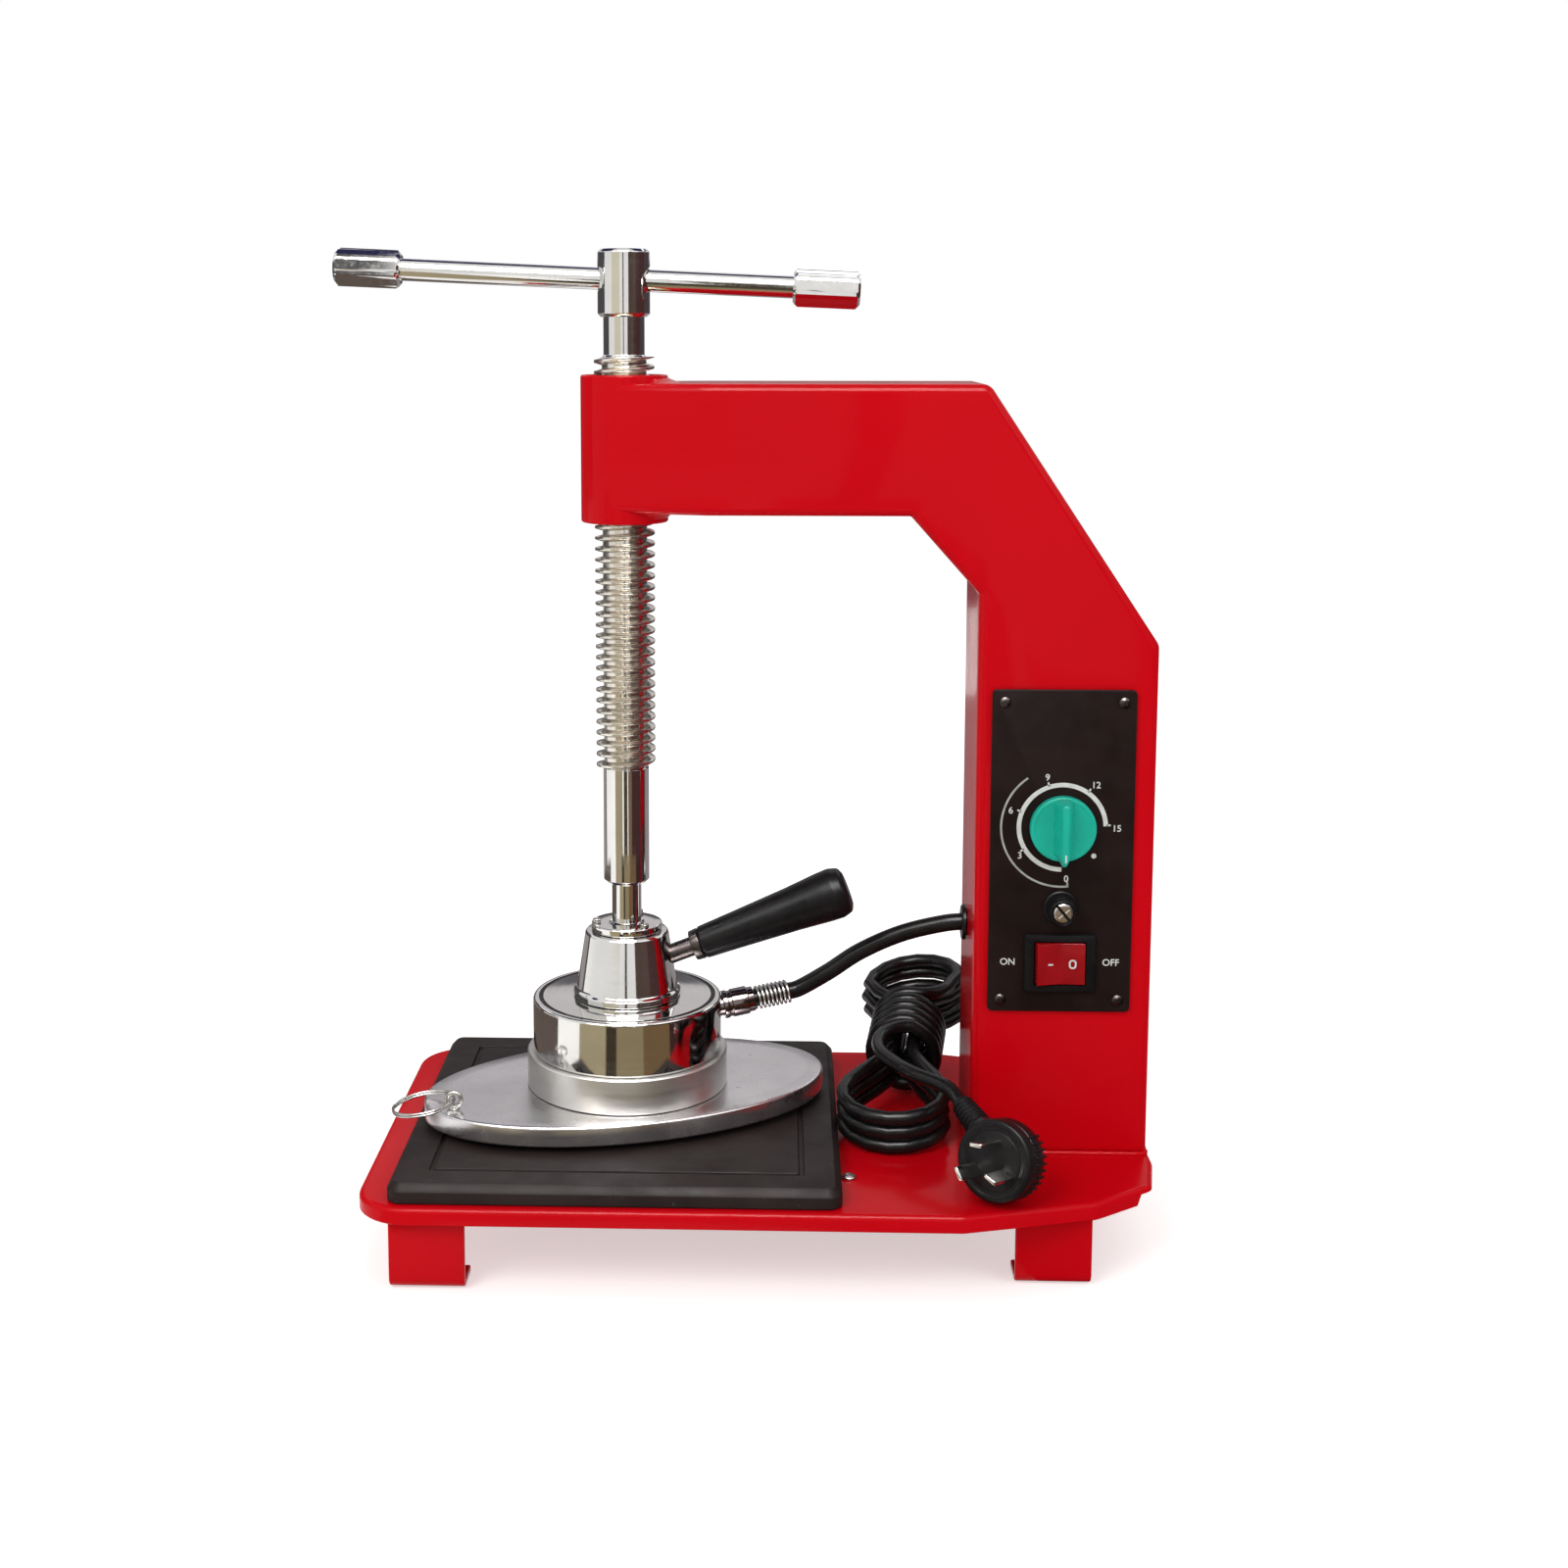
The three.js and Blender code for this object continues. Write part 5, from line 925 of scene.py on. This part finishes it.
def make_cover():
    corners = [(159.6, 35.5, 1), (159.6, 290, 2), (128.6, 325.6, 2), (FOLD_X, 325.6, 2), (FOLD_X, 381.6, 2)]
    outline = rounded([*corners, (161.3, 381.6, 3), (237.2, 267.7, 3), (237.2, 35.5, 1)])
    piece("cover_sheet", prism(outline, "Y", 30.4, 32, 0.5), RED_PAINT, "rear_cover", angle=30)
    for i, (x, z) in enumerate([(169.6, 45.2), (227.2, 45.2), (169.6, 279.4), (58, 371.6)]):
        head = moved(pan_screw(3.4, 2), at(x, 32.1, z) @ turn(-90, "X") @ turn(35 * i, "Z"))
        piece("cover_screw_head_%d" % (i + 1), head, STEEL, "cover_screw_%d" % (i + 1))


def make_foot_weld():
    """The bead where the column stands on the base."""
    path = rounded([(158.3, 29), (158.3, -31.6, 3), (237.9, -31.6, 3), (237.9, 29)], False, 5)
    points = []
    for a, b in zip(path, path[1:]):
        steps = max(1, round((b - a).length / BEAD_STEP))
        points += [a + (b - a) * k / steps for k in range(steps)]
    points.append(path[-1])
    radii = [BEAD_R + BEAD_SWING * sin(BEAD_WAVE * i) for i in range(len(points))]
    bead = tube([(p.x, p.y, BASE_TOP + BEAD_LIFT) for p in points], radii, 12)
    piece("column_weld", bead, RED_PAINT, angle=60)


make_shell()
make_boss()
make_cover()
make_foot_weld()

# --- panel

PANEL_X, PANEL_LOW, PANEL_HIGH = 196.6, 102, 248.6
PANEL_FRONT = 33.9  # before Y = 0
DIAL_Z, FUSE_Z, SWITCH_Z = 186.7, 150.2, 124.8
FIX = PANEL_FRONT + GAP  # height of what sits on the panel, before Y = 0
PRINT_DEPTH, PRINT_LINE = 0.09, 0.8
CAP_HEIGHT, BOLDNESS = 0.72, 0.018  # of the font's size, and of a letter's height
FLUTES = 20


def facing(bm, z, x=PANEL_X):
    """A form drawn up +Z from Y = 0, turned to stand out of the panel towards the front."""
    return moved(bm, at(x, 0, z) @ turn(90, "X"))


def flat_strip(points, width, low=PANEL_FRONT, high=PANEL_FRONT + PRINT_DEPTH):
    """A flat strip along a path in the panel's plane, as drawn up +Z."""
    left, right = offset(points, width / 2, False), offset(points, -width / 2, False)
    return prism([*left, *reversed(right)], "Z", low, high)


def dial_line(width, *ends):
    """A strip between (angle, radius) points round the dial. Angles run clockwise from the bottom, in degrees."""
    return flat_strip([Vector((-radius * sin(deg(angle)), -radius * cos(deg(angle)))) for angle, radius in ends], width)


def dial_arc(radius, width, start, end):
    steps = max(8, round(abs(end - start) / 4))
    return dial_line(width, *[(start + (end - start) * k / steps, radius) for k in range(steps + 1)])


def lettering(words, height, x, y, depth=0.12):
    """Words as a mesh on the panel, drawn in (X, Y) round a middle point."""
    curve = bpy.data.curves.new("words", "FONT")
    curve.body = words
    curve.size = height / CAP_HEIGHT
    curve.align_x, curve.align_y = "CENTER", "CENTER"
    curve.extrude = depth / 2
    curve.offset = height * BOLDNESS
    obj = new_object("words", curve)
    bpy.context.view_layer.update()
    bm = bmesh.new()
    bm.from_mesh(obj.evaluated_get(bpy.context.evaluated_depsgraph_get()).to_mesh())
    bpy.data.objects.remove(obj)
    bpy.data.curves.remove(curve)
    middle = [(min(values) + max(values)) / 2 for values in zip(*(v.co for v in bm.verts))]
    return moved(bm, at(x - middle[0], y - middle[1], PANEL_FRONT + PRINT_DEPTH / 2))


def make_panel():
    plate = prism(box_outline(63.6, PANEL_HIGH - PANEL_LOW, 2.2), "Z", PANEL_FRONT - 1.6, PANEL_FRONT, 0.35)
    piece("panel_plate", facing(plate, (PANEL_LOW + PANEL_HIGH) / 2), PANEL_BLACK, "control_panel")
    for i, (x, z) in enumerate([(-26.2, 107.6), (26.2, 107.6), (-26.2, 243), (26.2, 243)]):
        head = moved(pan_screw(2.5, 1.3), at(z=PANEL_FRONT + 0.1) @ turn(20 + 40 * i, "Z"))
        name = "panel_screw_%d" % (i + 1)
        piece(name.replace("screw", "screw_head"), facing(head, z, PANEL_X + x), DARK_STEEL, name)
    bright = [dial_arc(19.2, 2, 0, 268)]
    bright += [dial_line(PRINT_LINE, (angle, 19.5), (angle, 21.4)) for angle in (59, 111, 162, 215, 267)]
    for words, x, y in (
        ("0", 2.2, -23.4), ("3", -18.6, -12.9), ("6", -22.9, 7.6), ("9", -6.9, 22.6), ("12", 14.9, 19.3),
        ("15", 24.4, -0.3),
    ):
        bright.append(lettering(words, 3, x, y))
    dot = lathe([(0, 0), (1.15, 0), (1.15, PRINT_DEPTH), (0, PRINT_DEPTH)], 32)
    bright.append(moved(dot, at(14.2, -12.9, PANEL_FRONT)))
    grey = [dial_arc(27.1, 0.9, -7, 145), dial_line(PRINT_LINE, (-6.2, 27.4), (-6.2, 24.9))]
    words = [lettering(word, 3.1, x, 0.2) for word, x in (("ON", -23.2), ("OFF", 22.9))]
    piece("dial_print", facing(merged(*bright), DIAL_Z), PRINT_WHITE, angle=60)
    piece("dial_outer_print", facing(merged(*grey), DIAL_Z), PRINT_GREY, angle=60)
    piece("switch_print", facing(merged(*words), SWITCH_Z), PRINT_WHITE, angle=60)


def make_knob():
    foot, disc, grip, r = FIX + 0.35, 4.5, 9, 14.6
    top, tip = foot + disc, r + 2.6
    base = lathe([
        (0, foot), (r, foot, 0.3), (r, top - 0.2, 1), (r - 1.4, top, 0.7), (r - 2.2, top - 0.25, 0.3),
        (0, top - 0.25),
    ], 128)
    levels = []
    for z, wide, back, fore in (
        (foot + 0.2, 4.25, r - 0.6, tip), (top + 0.5, 4.2, r - 0.7, tip - 0.1),
        (top + grip - 1.4, 1.9, r - 1.6, tip - 1.7), (top + grip - 0.6, 1.55, r - 1.9, tip - 2),
        (top + grip - 0.15, 1.15, r - 2.4, tip - 2.6), (top + grip, 0.6, r - 3, tip - 3.3),
    ):
        shoulder = -fore + 1.25 * wide + 1.6
        corners = [
            (-wide, back - wide * 0.5, wide * 0.5), (-wide * 0.55, back, wide * 0.4), (wide * 0.55, back, wide * 0.4),
            (wide, back - wide * 0.5, wide * 0.5), (wide, shoulder, 1.6), (0, -fore, 0.5), (-wide, shoulder, 1.6),
        ]
        levels.append((rounded(corners), z))
    knob = merged(base, stacked(levels))
    piece("dial_knob", facing(knob, DIAL_Z), KNOB_GREEN, "timer_knob", "timer_dial", angle=40)
    line = flat_strip([Vector((0, -9.2)), Vector((0, -12.6))], 0.7, top + grip - 0.4, top + grip + 0.02)
    piece("dial_knob_line", facing(line, DIAL_Z), PRINT_WHITE, "", "timer_dial", 60)


def make_fuse():
    flange = lathe([
        (3.6, FIX - 20), (5.9, FIX - 20), (5.9, FIX), (7.85, FIX, 0.2), (7.85, FIX + 1.2, 0.5),
        (7.1, FIX + 1.6, 0.3), (3.6, FIX + 1.6),
    ], 72, True)
    piece("fuse_body", facing(flange, FUSE_Z), BLACK_PLASTIC, "fuse_holder")
    low, high = FIX + 1.9, FIX + 10.4
    cap = lathe([
        (0, low - 12), (3.2, low - 12, 0.4), (3.2, low), (6.3, low, 0.3), (6.3, high - 1.3, 0.6), (5.6, high, 0.5),
        (4.9, high, 0.2), (4.8, high - 0.9, 0.2), (0, high - 0.9),
    ], 72)
    flutes = [
        moved(box(0.7, 0.9, 3.4, 0, 0, low + 2.2, 0.25), turn(360 * k / FLUTES, "Z") @ at(6)) for k in range(FLUTES)
    ]
    cap = facing(merged(cap, *flutes), FUSE_Z)
    piece("fuse_cap_shell", cap, BLACK_PLASTIC, "fuse_cap", "fuse_cap")
    disc = lathe([(0, high - 1.4), (4.4, high - 1.4), (4.4, high - 0.2, 0.5), (3.4, high, 0.5), (0, high)], 48)
    for long, wide, deep, angle in ((10, 1.3, 2, -50), (6.4, 1.1, 1.6, 40)):
        disc = cut_out(disc, moved(box(long, wide, deep, 0, 0, high), turn(angle, "Z")))
    piece("fuse_cap_slot", facing(disc, FUSE_Z), NICKEL, "", "fuse_cap")


def make_switch():
    rim = FIX + 2.2
    levels = (
        (28, 22.4, FIX - 19, 0.6), (28, 22.4, FIX, 0.6), (31.6, 26.2, FIX, 1), (32, 26.6, FIX + 0.3, 1.2),
        (32, 26.6, rim - 0.8, 1.2), (31.2, 25.8, rim - 0.1, 1), (30.6, 25.2, rim, 0.9), (23.4, 20.4, rim, 0.9),
        (22.8, 19.8, rim - 0.5, 0.8), (22.6, 19.6, rim - 5.8, 0.8),
    )
    bezel = stacked([(box_outline(width, height, r), z) for width, height, z, r in levels])
    piece("switch_bezel", facing(bezel, SWITCH_Z), BLACK_PLASTIC, "rocker_bezel")
    half, rise, dip, sink, tilt, steps = 10.8, 3.2, 1.5, 2.5, 6, 24
    face = [half * (2 * k / steps - 1) for k in range(steps + 1)]
    face = [(x, -(dip + (rise - dip) * abs(x / half) ** 1.15)) for x in face]
    outline = [Vector(c) for c in ((-half, sink), *face, (half, sink))]
    matrix = at(PANEL_X, 1.4 - rim, SWITCH_Z) @ turn(tilt, "Z")
    rocker = moved(prism(outline, "Z", -9.5, 9.5, 0.5), matrix)
    piece("rocker_cap", rocker, ROCKER_RED, "rocker", "rocker", angle=40)
    bar = moved(box(3.4, 0.12, 0.75, -5.2, -(dip + (rise - dip) * 0.43 + 0.02)), matrix)
    outer, inner = box_outline(3.4, 4.2, 1.5), box_outline(1.9, 2.7, 0.8)
    loops = ((outer, 0.06), (outer, -0.06), (inner, -0.06), (inner, 0.06))
    ring = loft([[(p.x, y, p.y) for p in loop] for loop, y in loops], False, True)
    ring = moved(ring, matrix @ at(5.4, -(dip + (rise - dip) * 0.45 + 0.02)) @ turn(-9, "Z"))
    piece("rocker_marks", merged(bar, ring), PRINT_WHITE, "", "rocker", 60)


make_panel()
make_knob()
make_fuse()
make_switch()

# --- grommet and strain relief

RELIEF_ROOT, RELIEF_LENGTH, RELIEF_RIBS = 32.3, 34.5, 8


def make_grommet():
    profile = [
        (4.3, -2.3, 0.5), (7.9, -2.3, 0.8), (8.4, -0.4, 0.2), (6.3, -0.3, 0.1), (6.3, 2.8, 0.1), (8.4, 2.9, 0.2),
        (7.9, 4.8, 0.6), (4.3, 4.8, 0.4),
    ]
    bm = moved(lathe(profile, 56, True), at(158.6, 8.5, 130.8) @ turn(90, "Y"))
    piece("grommet_ring", bm, CORD_BLACK, "cable_grommet")


def make_strain_relief():
    root, end = RELIEF_ROOT, RELIEF_ROOT + RELIEF_LENGTH
    profile = [
        (3.6, 24.4), (6.2, 24.4, 0.3), (6.2, root, 0.2), (8, root, 0.3), (8, root + 2.5, 0.8), (6.7, root + 2.6, 0.4),
        (6.6, root + 4.6, 0.5),
    ]
    for k in range(RELIEF_RIBS):
        z, r = root + 5.2 + 3.4 * k, 6.5 - 1.7 * k / (RELIEF_RIBS - 1)
        profile += [(r - 0.9, z, 0.2), (r - 0.9, z + 1.2, 0.2), (r, z + 1.4, 0.4), (r - 0.1, z + 3.2, 0.4)]
    bm = lathe([*profile, (4.6, end - 0.5, 0.4), (3.6, end)], 56, True)
    piece("relief_boot", moved(bm, at(RELIEF_X, 0, RELIEF_Z) @ turn(-90, "X")), CORD_BLACK, "strain_relief")


make_grommet()
make_strain_relief()

# --- press screw

PITCH, CREST_R, ROOT_R, FLANK, LAND = 5, 13.7, 10.1, 1, 1.3
THREAD_LOW, THREAD_HIGH, THREAD_SEGMENTS = 206, 394, 56
BAR_HEIGHT, BAR_TILT = 428.4, 2.6
BAR_MATRIX = at(z=BAR_HEIGHT) @ turn(BAR_TILT, "Y") @ turn(90, "Y")
BAR_LEFT, BAR_RIGHT = -130.4, 106.2
END_LENGTH, END_HALF, END_CHAMFER, END_SEGMENTS = 30, 7.6, 1.1, 120
END_TURN = 20  # an edge lies this far below the front


def helical_thread():
    """The lead screw's ridge as one surface, whose profile climbs a pitch with every turn."""
    low = PITCH - LAND - FLANK
    high = PITCH - FLANK
    profile = [
        (ROOT_R, 0), (ROOT_R, (low - FLANK) / 2), (ROOT_R, low - FLANK - 0.12), (ROOT_R + 0.2, low - FLANK + 0.05),
        (CREST_R - 0.25, low - 0.07), (CREST_R - 0.04, low + 0.12), (CREST_R, low + 0.3), (CREST_R, high - 0.3),
        (CREST_R - 0.04, high - 0.12), (CREST_R - 0.25, high + 0.07), (ROOT_R + 0.2, PITCH - 0.05),
    ]
    turns = math.ceil((THREAD_HIGH - THREAD_LOW) / PITCH) + 2
    bm = bmesh.new()
    columns = []
    for k in range(turns * THREAD_SEGMENTS + 1):
        a, rise = TAU * k / THREAD_SEGMENTS, THREAD_LOW - PITCH + PITCH * k / THREAD_SEGMENTS
        columns.append([bm.verts.new((r * cos(a), r * sin(a), rise + z)) for r, z in profile])
    for k, (a, b) in enumerate(zip(columns, columns[1:])):
        for j in range(len(profile) - 1):
            bm.faces.new((a[j], b[j], b[j + 1], a[j + 1]))
        above = columns[k + THREAD_SEGMENTS : k + THREAD_SEGMENTS + 2]
        if len(above) > 1:
            bm.faces.new((a[-1], b[-1], above[1][0], above[0][0]))
    for z, up in ((THREAD_LOW, -1), (THREAD_HIGH, 1)):
        geometry = bm.verts[:] + bm.edges[:] + bm.faces[:]
        bmesh.ops.bisect_plane(bm, geom=geometry, plane_co=(0, 0, z), plane_no=(0, 0, up), clear_outer=True)
    return bm


def make_screw():
    lower = lathe([
        (0, 110.4), (11.3, 110.4, 0.3), (11.3, 116.4, 0.3), (6.9, 116.4, 0.5), (6.9, 150.9, 0.4), (9.1, 151.4, 0.1),
        (10.6, 152.9, 0.3), (10.6, 205.6, 0.2), (10.2, 206.2), (0, 206.2),
    ])
    upper = lathe([(0, 393.8), (10.2, 393.8), (9.3, 394.8, 0.4), (9.3, 412.2)])
    hub = lathe([
        (0, 411.8), (10.4, 411.8, 0.2), (11.8, 413.3, 0.5), (11.8, 440.6, 0.6), (10.4, 442, 0.6),
        (1.6, 442, 0.2), (0, 440.8),
    ], 128)
    hole = lathe([(0, -30), (5.85, -30), (5.85, 30), (0, 30)], 64)
    hub = cut_out(hub, moved(hole, at(z=BAR_HEIGHT) @ turn(90, "Y")))
    piece("screw_turned", merged(lower, upper, hub), CHROME, "press_screw", "press_screw", angle=30)
    piece("screw_thread", helical_thread(), THREAD_STEEL, "", "press_screw", angle=30)


def hex_end(low):
    """A six-sided end piece up +Z, whose rims are turned to a cone."""
    span = END_HALF / cos(pi / 6) - END_HALF + END_CHAMFER
    rise = [(0, 0), (0.14, 0.25), (0.6, 1.1), (1, 1.9)]
    rings = []
    for share, z in rise + [(share, END_LENGTH - z) for share, z in reversed(rise)]:
        ring = []
        for a in angles(END_SEGMENTS):
            part = (a + pi / 6) % (pi / 3) - pi / 6
            r = min(END_HALF / cos(pi / 6 - abs(part)), END_HALF - END_CHAMFER + share * span)
            ring.append((r * cos(a), r * sin(a), low + z))
        rings.append(ring)
    return loft(rings)


def make_bar():
    bar = lathe([(0, BAR_LEFT + 6), (5, BAR_LEFT + 6), (5, BAR_RIGHT - 6), (0, BAR_RIGHT - 6)], 64)
    piece("bar_rod", moved(bar, BAR_MATRIX), CHROME, "tommy_bar", "tommy")
    for name, low in (("left", BAR_LEFT), ("right", BAR_RIGHT - END_LENGTH)):
        end = moved(hex_end(low), BAR_MATRIX @ turn(END_TURN - 90, "Z"))
        piece("bar_end_piece_" + name, end, CHROME, "bar_end_" + name, "tommy", angle=22)


make_screw()
make_bar()

# --- heating head

PLATE_LONG, PLATE_WIDE, PLATE_LOW, PLATE_TOP, PLATE_TURN = 96, 55, 45.6, 55.1, 19.5
EYE = turn(PLATE_TURN, "Z") @ Vector((-85, -12, 0))
EYE_HEIGHT = 59.4
HANDLE_MATRIX = at(z=108.3) @ turn(90 - 21.4, "Y")
SPRING_COILS, SPRING_STEPS = 8, 28
LOOP_R, LOOP_STEPS = 14, 80


def make_plate():
    rings = []
    for inwards, z in rims(PLATE_LOW, PLATE_TOP, 1.3, 4) + [(8, PLATE_TOP), (30, PLATE_TOP)]:
        rings.append([((PLATE_LONG - inwards) * cos(a), (PLATE_WIDE - inwards) * sin(a), z) for a in angles(180)])
    piece("plate_casting", moved(loft(rings), turn(PLATE_TURN, "Z")), PLATE_METAL, "heater_plate", "head", angle=30)


def make_housing():
    for name, node, material, segments, closed, steps, *profile in (
        (
            "housing_ring", "heater_ring", RING_METAL, 160, True, 4,
            (40, 55.4), (46.4, 55.4, 0.3), (46.8, 55.8, 0.2), (46.8, 71.2, 0.3), (46.2, 71.8, 0.3), (40, 71.8),
        ), (
            "housing_drum", "heater_drum", CHROME, 160, True, 8,
            (42, 72.1), (44, 72.1, 0.2), (44, 97.1, 2.4), (41.3, 97.1, 0.1), (41.3, 96.5), (39.3, 96.5),
            (39.3, 97.1, 0.1), (8, 97.1), (8, 95.1), (42, 95.1),
        ), (
            # painted shade: a thin black ring laid in the bottom of the groove round the drum's top, standing in for
            # the shade in the groove
            "drum_seam", "", BLACK_PLASTIC, 160, True, 4,
            (39.35, 96.45), (41.25, 96.45), (41.25, 96.75, 0.1), (39.35, 96.75, 0.1),
        ), (
            "cone_body", "head_cone", CHROME, 128, False, 4,
            (0, 97.4), (24.6, 97.4, 0.3), (25, 97.8, 0.3), (25, 100.4, 0.8), (23.4, 101.6, 1.6), (19.5, 127.4, 0.5),
            (18.7, 128.4, 0.5), (12, 128.4), (12, 106.4), (0, 106.4),
        ), (
            "cone_flange_plate", "cone_flange", CHROME, 112, True, 4,
            (7.25, 116.8), (11.7, 116.8), (11.7, 128.7), (16.5, 128.7, 0.3), (16.5, 132.1, 0.7), (8.2, 132.1, 0.4),
            (7.25, 131.2),
        ),
    ):
        piece(name, lathe(profile, segments, closed, steps), material, node, "head", angle=28)
    for i in range(3):
        head = lathe([(0, 0), (1.9, 0, 0.1), (1.9, 1.6, 0.3), (1, 1.6, 0.1), (1, 0.6), (0, 0.6)], 36)
        a = deg(70 + 120 * i)
        head = moved(head, at(14.1 * cos(a), 14.1 * sin(a), 132.3))
        piece("flange_screw_head_%d" % (i + 1), head, STEEL, "flange_screw_%d" % (i + 1), "head")


def make_handle():
    rod = lathe([(0, 15.6), (4.5, 15.6), (4.5, 60), (0, 60)], 48)
    collar = lathe([(4.5, 33.2, 0.2), (7, 33.2, 0.5), (7.4, 37.3, 0.4), (4.5, 37.3, 0.2)], 64, True)
    piece("handle_bar", moved(merged(rod, collar), HANDLE_MATRIX), DARK_STEEL, "handle_rod", "head")
    profile = [
        (4.8, 37.6), (7.1, 37.6, 0.5), (7.7, 38.6, 0.4), (8.6, 55, 30), (10.3, 83, 30), (11.7, 99, 12),
        (11.9, 104.6, 5), (10.6, 109.2, 2.6), (7.5, 110.5, 1.5), (0, 110.5),
    ]
    grip = moved(lathe(profile, 96, False, 6), HANDLE_MATRIX)
    piece("handle_grip_shell", grip, BLACK_PLASTIC, "handle_grip", "head", angle=50)


def make_gland():
    profile = [
        (4.3, 42), (4.9, 42), (4.9, 46.2, 0.1), (6.6, 46.2, 0.3), (6.6, 48.4, 0.3), (6.1, 48.7, 0.2), (6.1, 50.2, 0.2),
        (6.6, 50.5, 0.3), (6.6, 58.2, 0.5), (5.8, 58.3, 0.1), (5.8, 61.2, 0.5), (4.3, 61.2),
    ]
    piece("gland_body", moved(lathe(profile, 64, True), GLAND_MATRIX), GLAND_METAL, "cable_gland", "head")
    wire, coil_r, start, length = 0.65, 5.05, 62.15, 16
    points = []
    for k in range(SPRING_COILS * SPRING_STEPS + 1):
        turns = k / SPRING_STEPS
        points.append((coil_r * cos(TAU * turns), coil_r * sin(TAU * turns), start + length * turns / SPRING_COILS))
    coil = moved(tube(points, wire, 10), GLAND_MATRIX)
    piece("gland_coil", coil, STEEL, "gland_spring", "head", angle=60)


def make_loop():
    eye = lathe([(3.2 + 1.1 * cos(a), 1.1 * sin(a)) for a in angles(14)], 48, True)
    eye = moved(eye, at(EYE.x, EYE.y, EYE_HEIGHT) @ turn(90, "X"))
    stem = lathe([
        (0, 50.1), (1.7, 50.1), (1.7, 55.2), (2.6, 55.2, 0.3), (2.6, 56, 0.3), (1.6, 56.3, 0.3), (1.3, 57),
        (0, 57),
    ], 36)
    piece("plate_eye_ring", merged(eye, moved(stem, at(EYE.x, EYE.y))), STEEL, "plate_eye", "head", angle=40)
    points = []
    for k in range(2 * LOOP_STEPS + 1):
        a = pi + TAU * (k - 2) / LOOP_STEPS
        lift = 0.55 * (1 - 2 * smoothstep(k, LOOP_STEPS * 0.9, LOOP_STEPS * 1.1))
        points.append((LOOP_R * cos(a), LOOP_R * sin(a), lift))
    ring = moved(tube(points, 0.56, 10), at(EYE.x, EYE.y, EYE_HEIGHT) @ turn(-9, "Y") @ at(-LOOP_R))
    piece("split_ring", ring, STEEL, "hanging_loop", "hanging_loop", angle=60)


make_plate()
make_housing()
make_handle()
make_gland()
make_loop()

# --- nodes that stay as packed

for material, names in (
    (BRASS, ("thread_nut", "thrust_washer")),
    (BLACK_PLASTIC, ("timer_body", "terminal_block", "thermostat")),
    (STEEL, ("timer_shaft",)),
    (MICA, ("heating_element", "insulating_disc")),
):
    for name in names:
        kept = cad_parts[name]
        if not kept.material_slots:
            kept.data.materials.append(material)
        for slot in kept.material_slots:
            slot.material = material
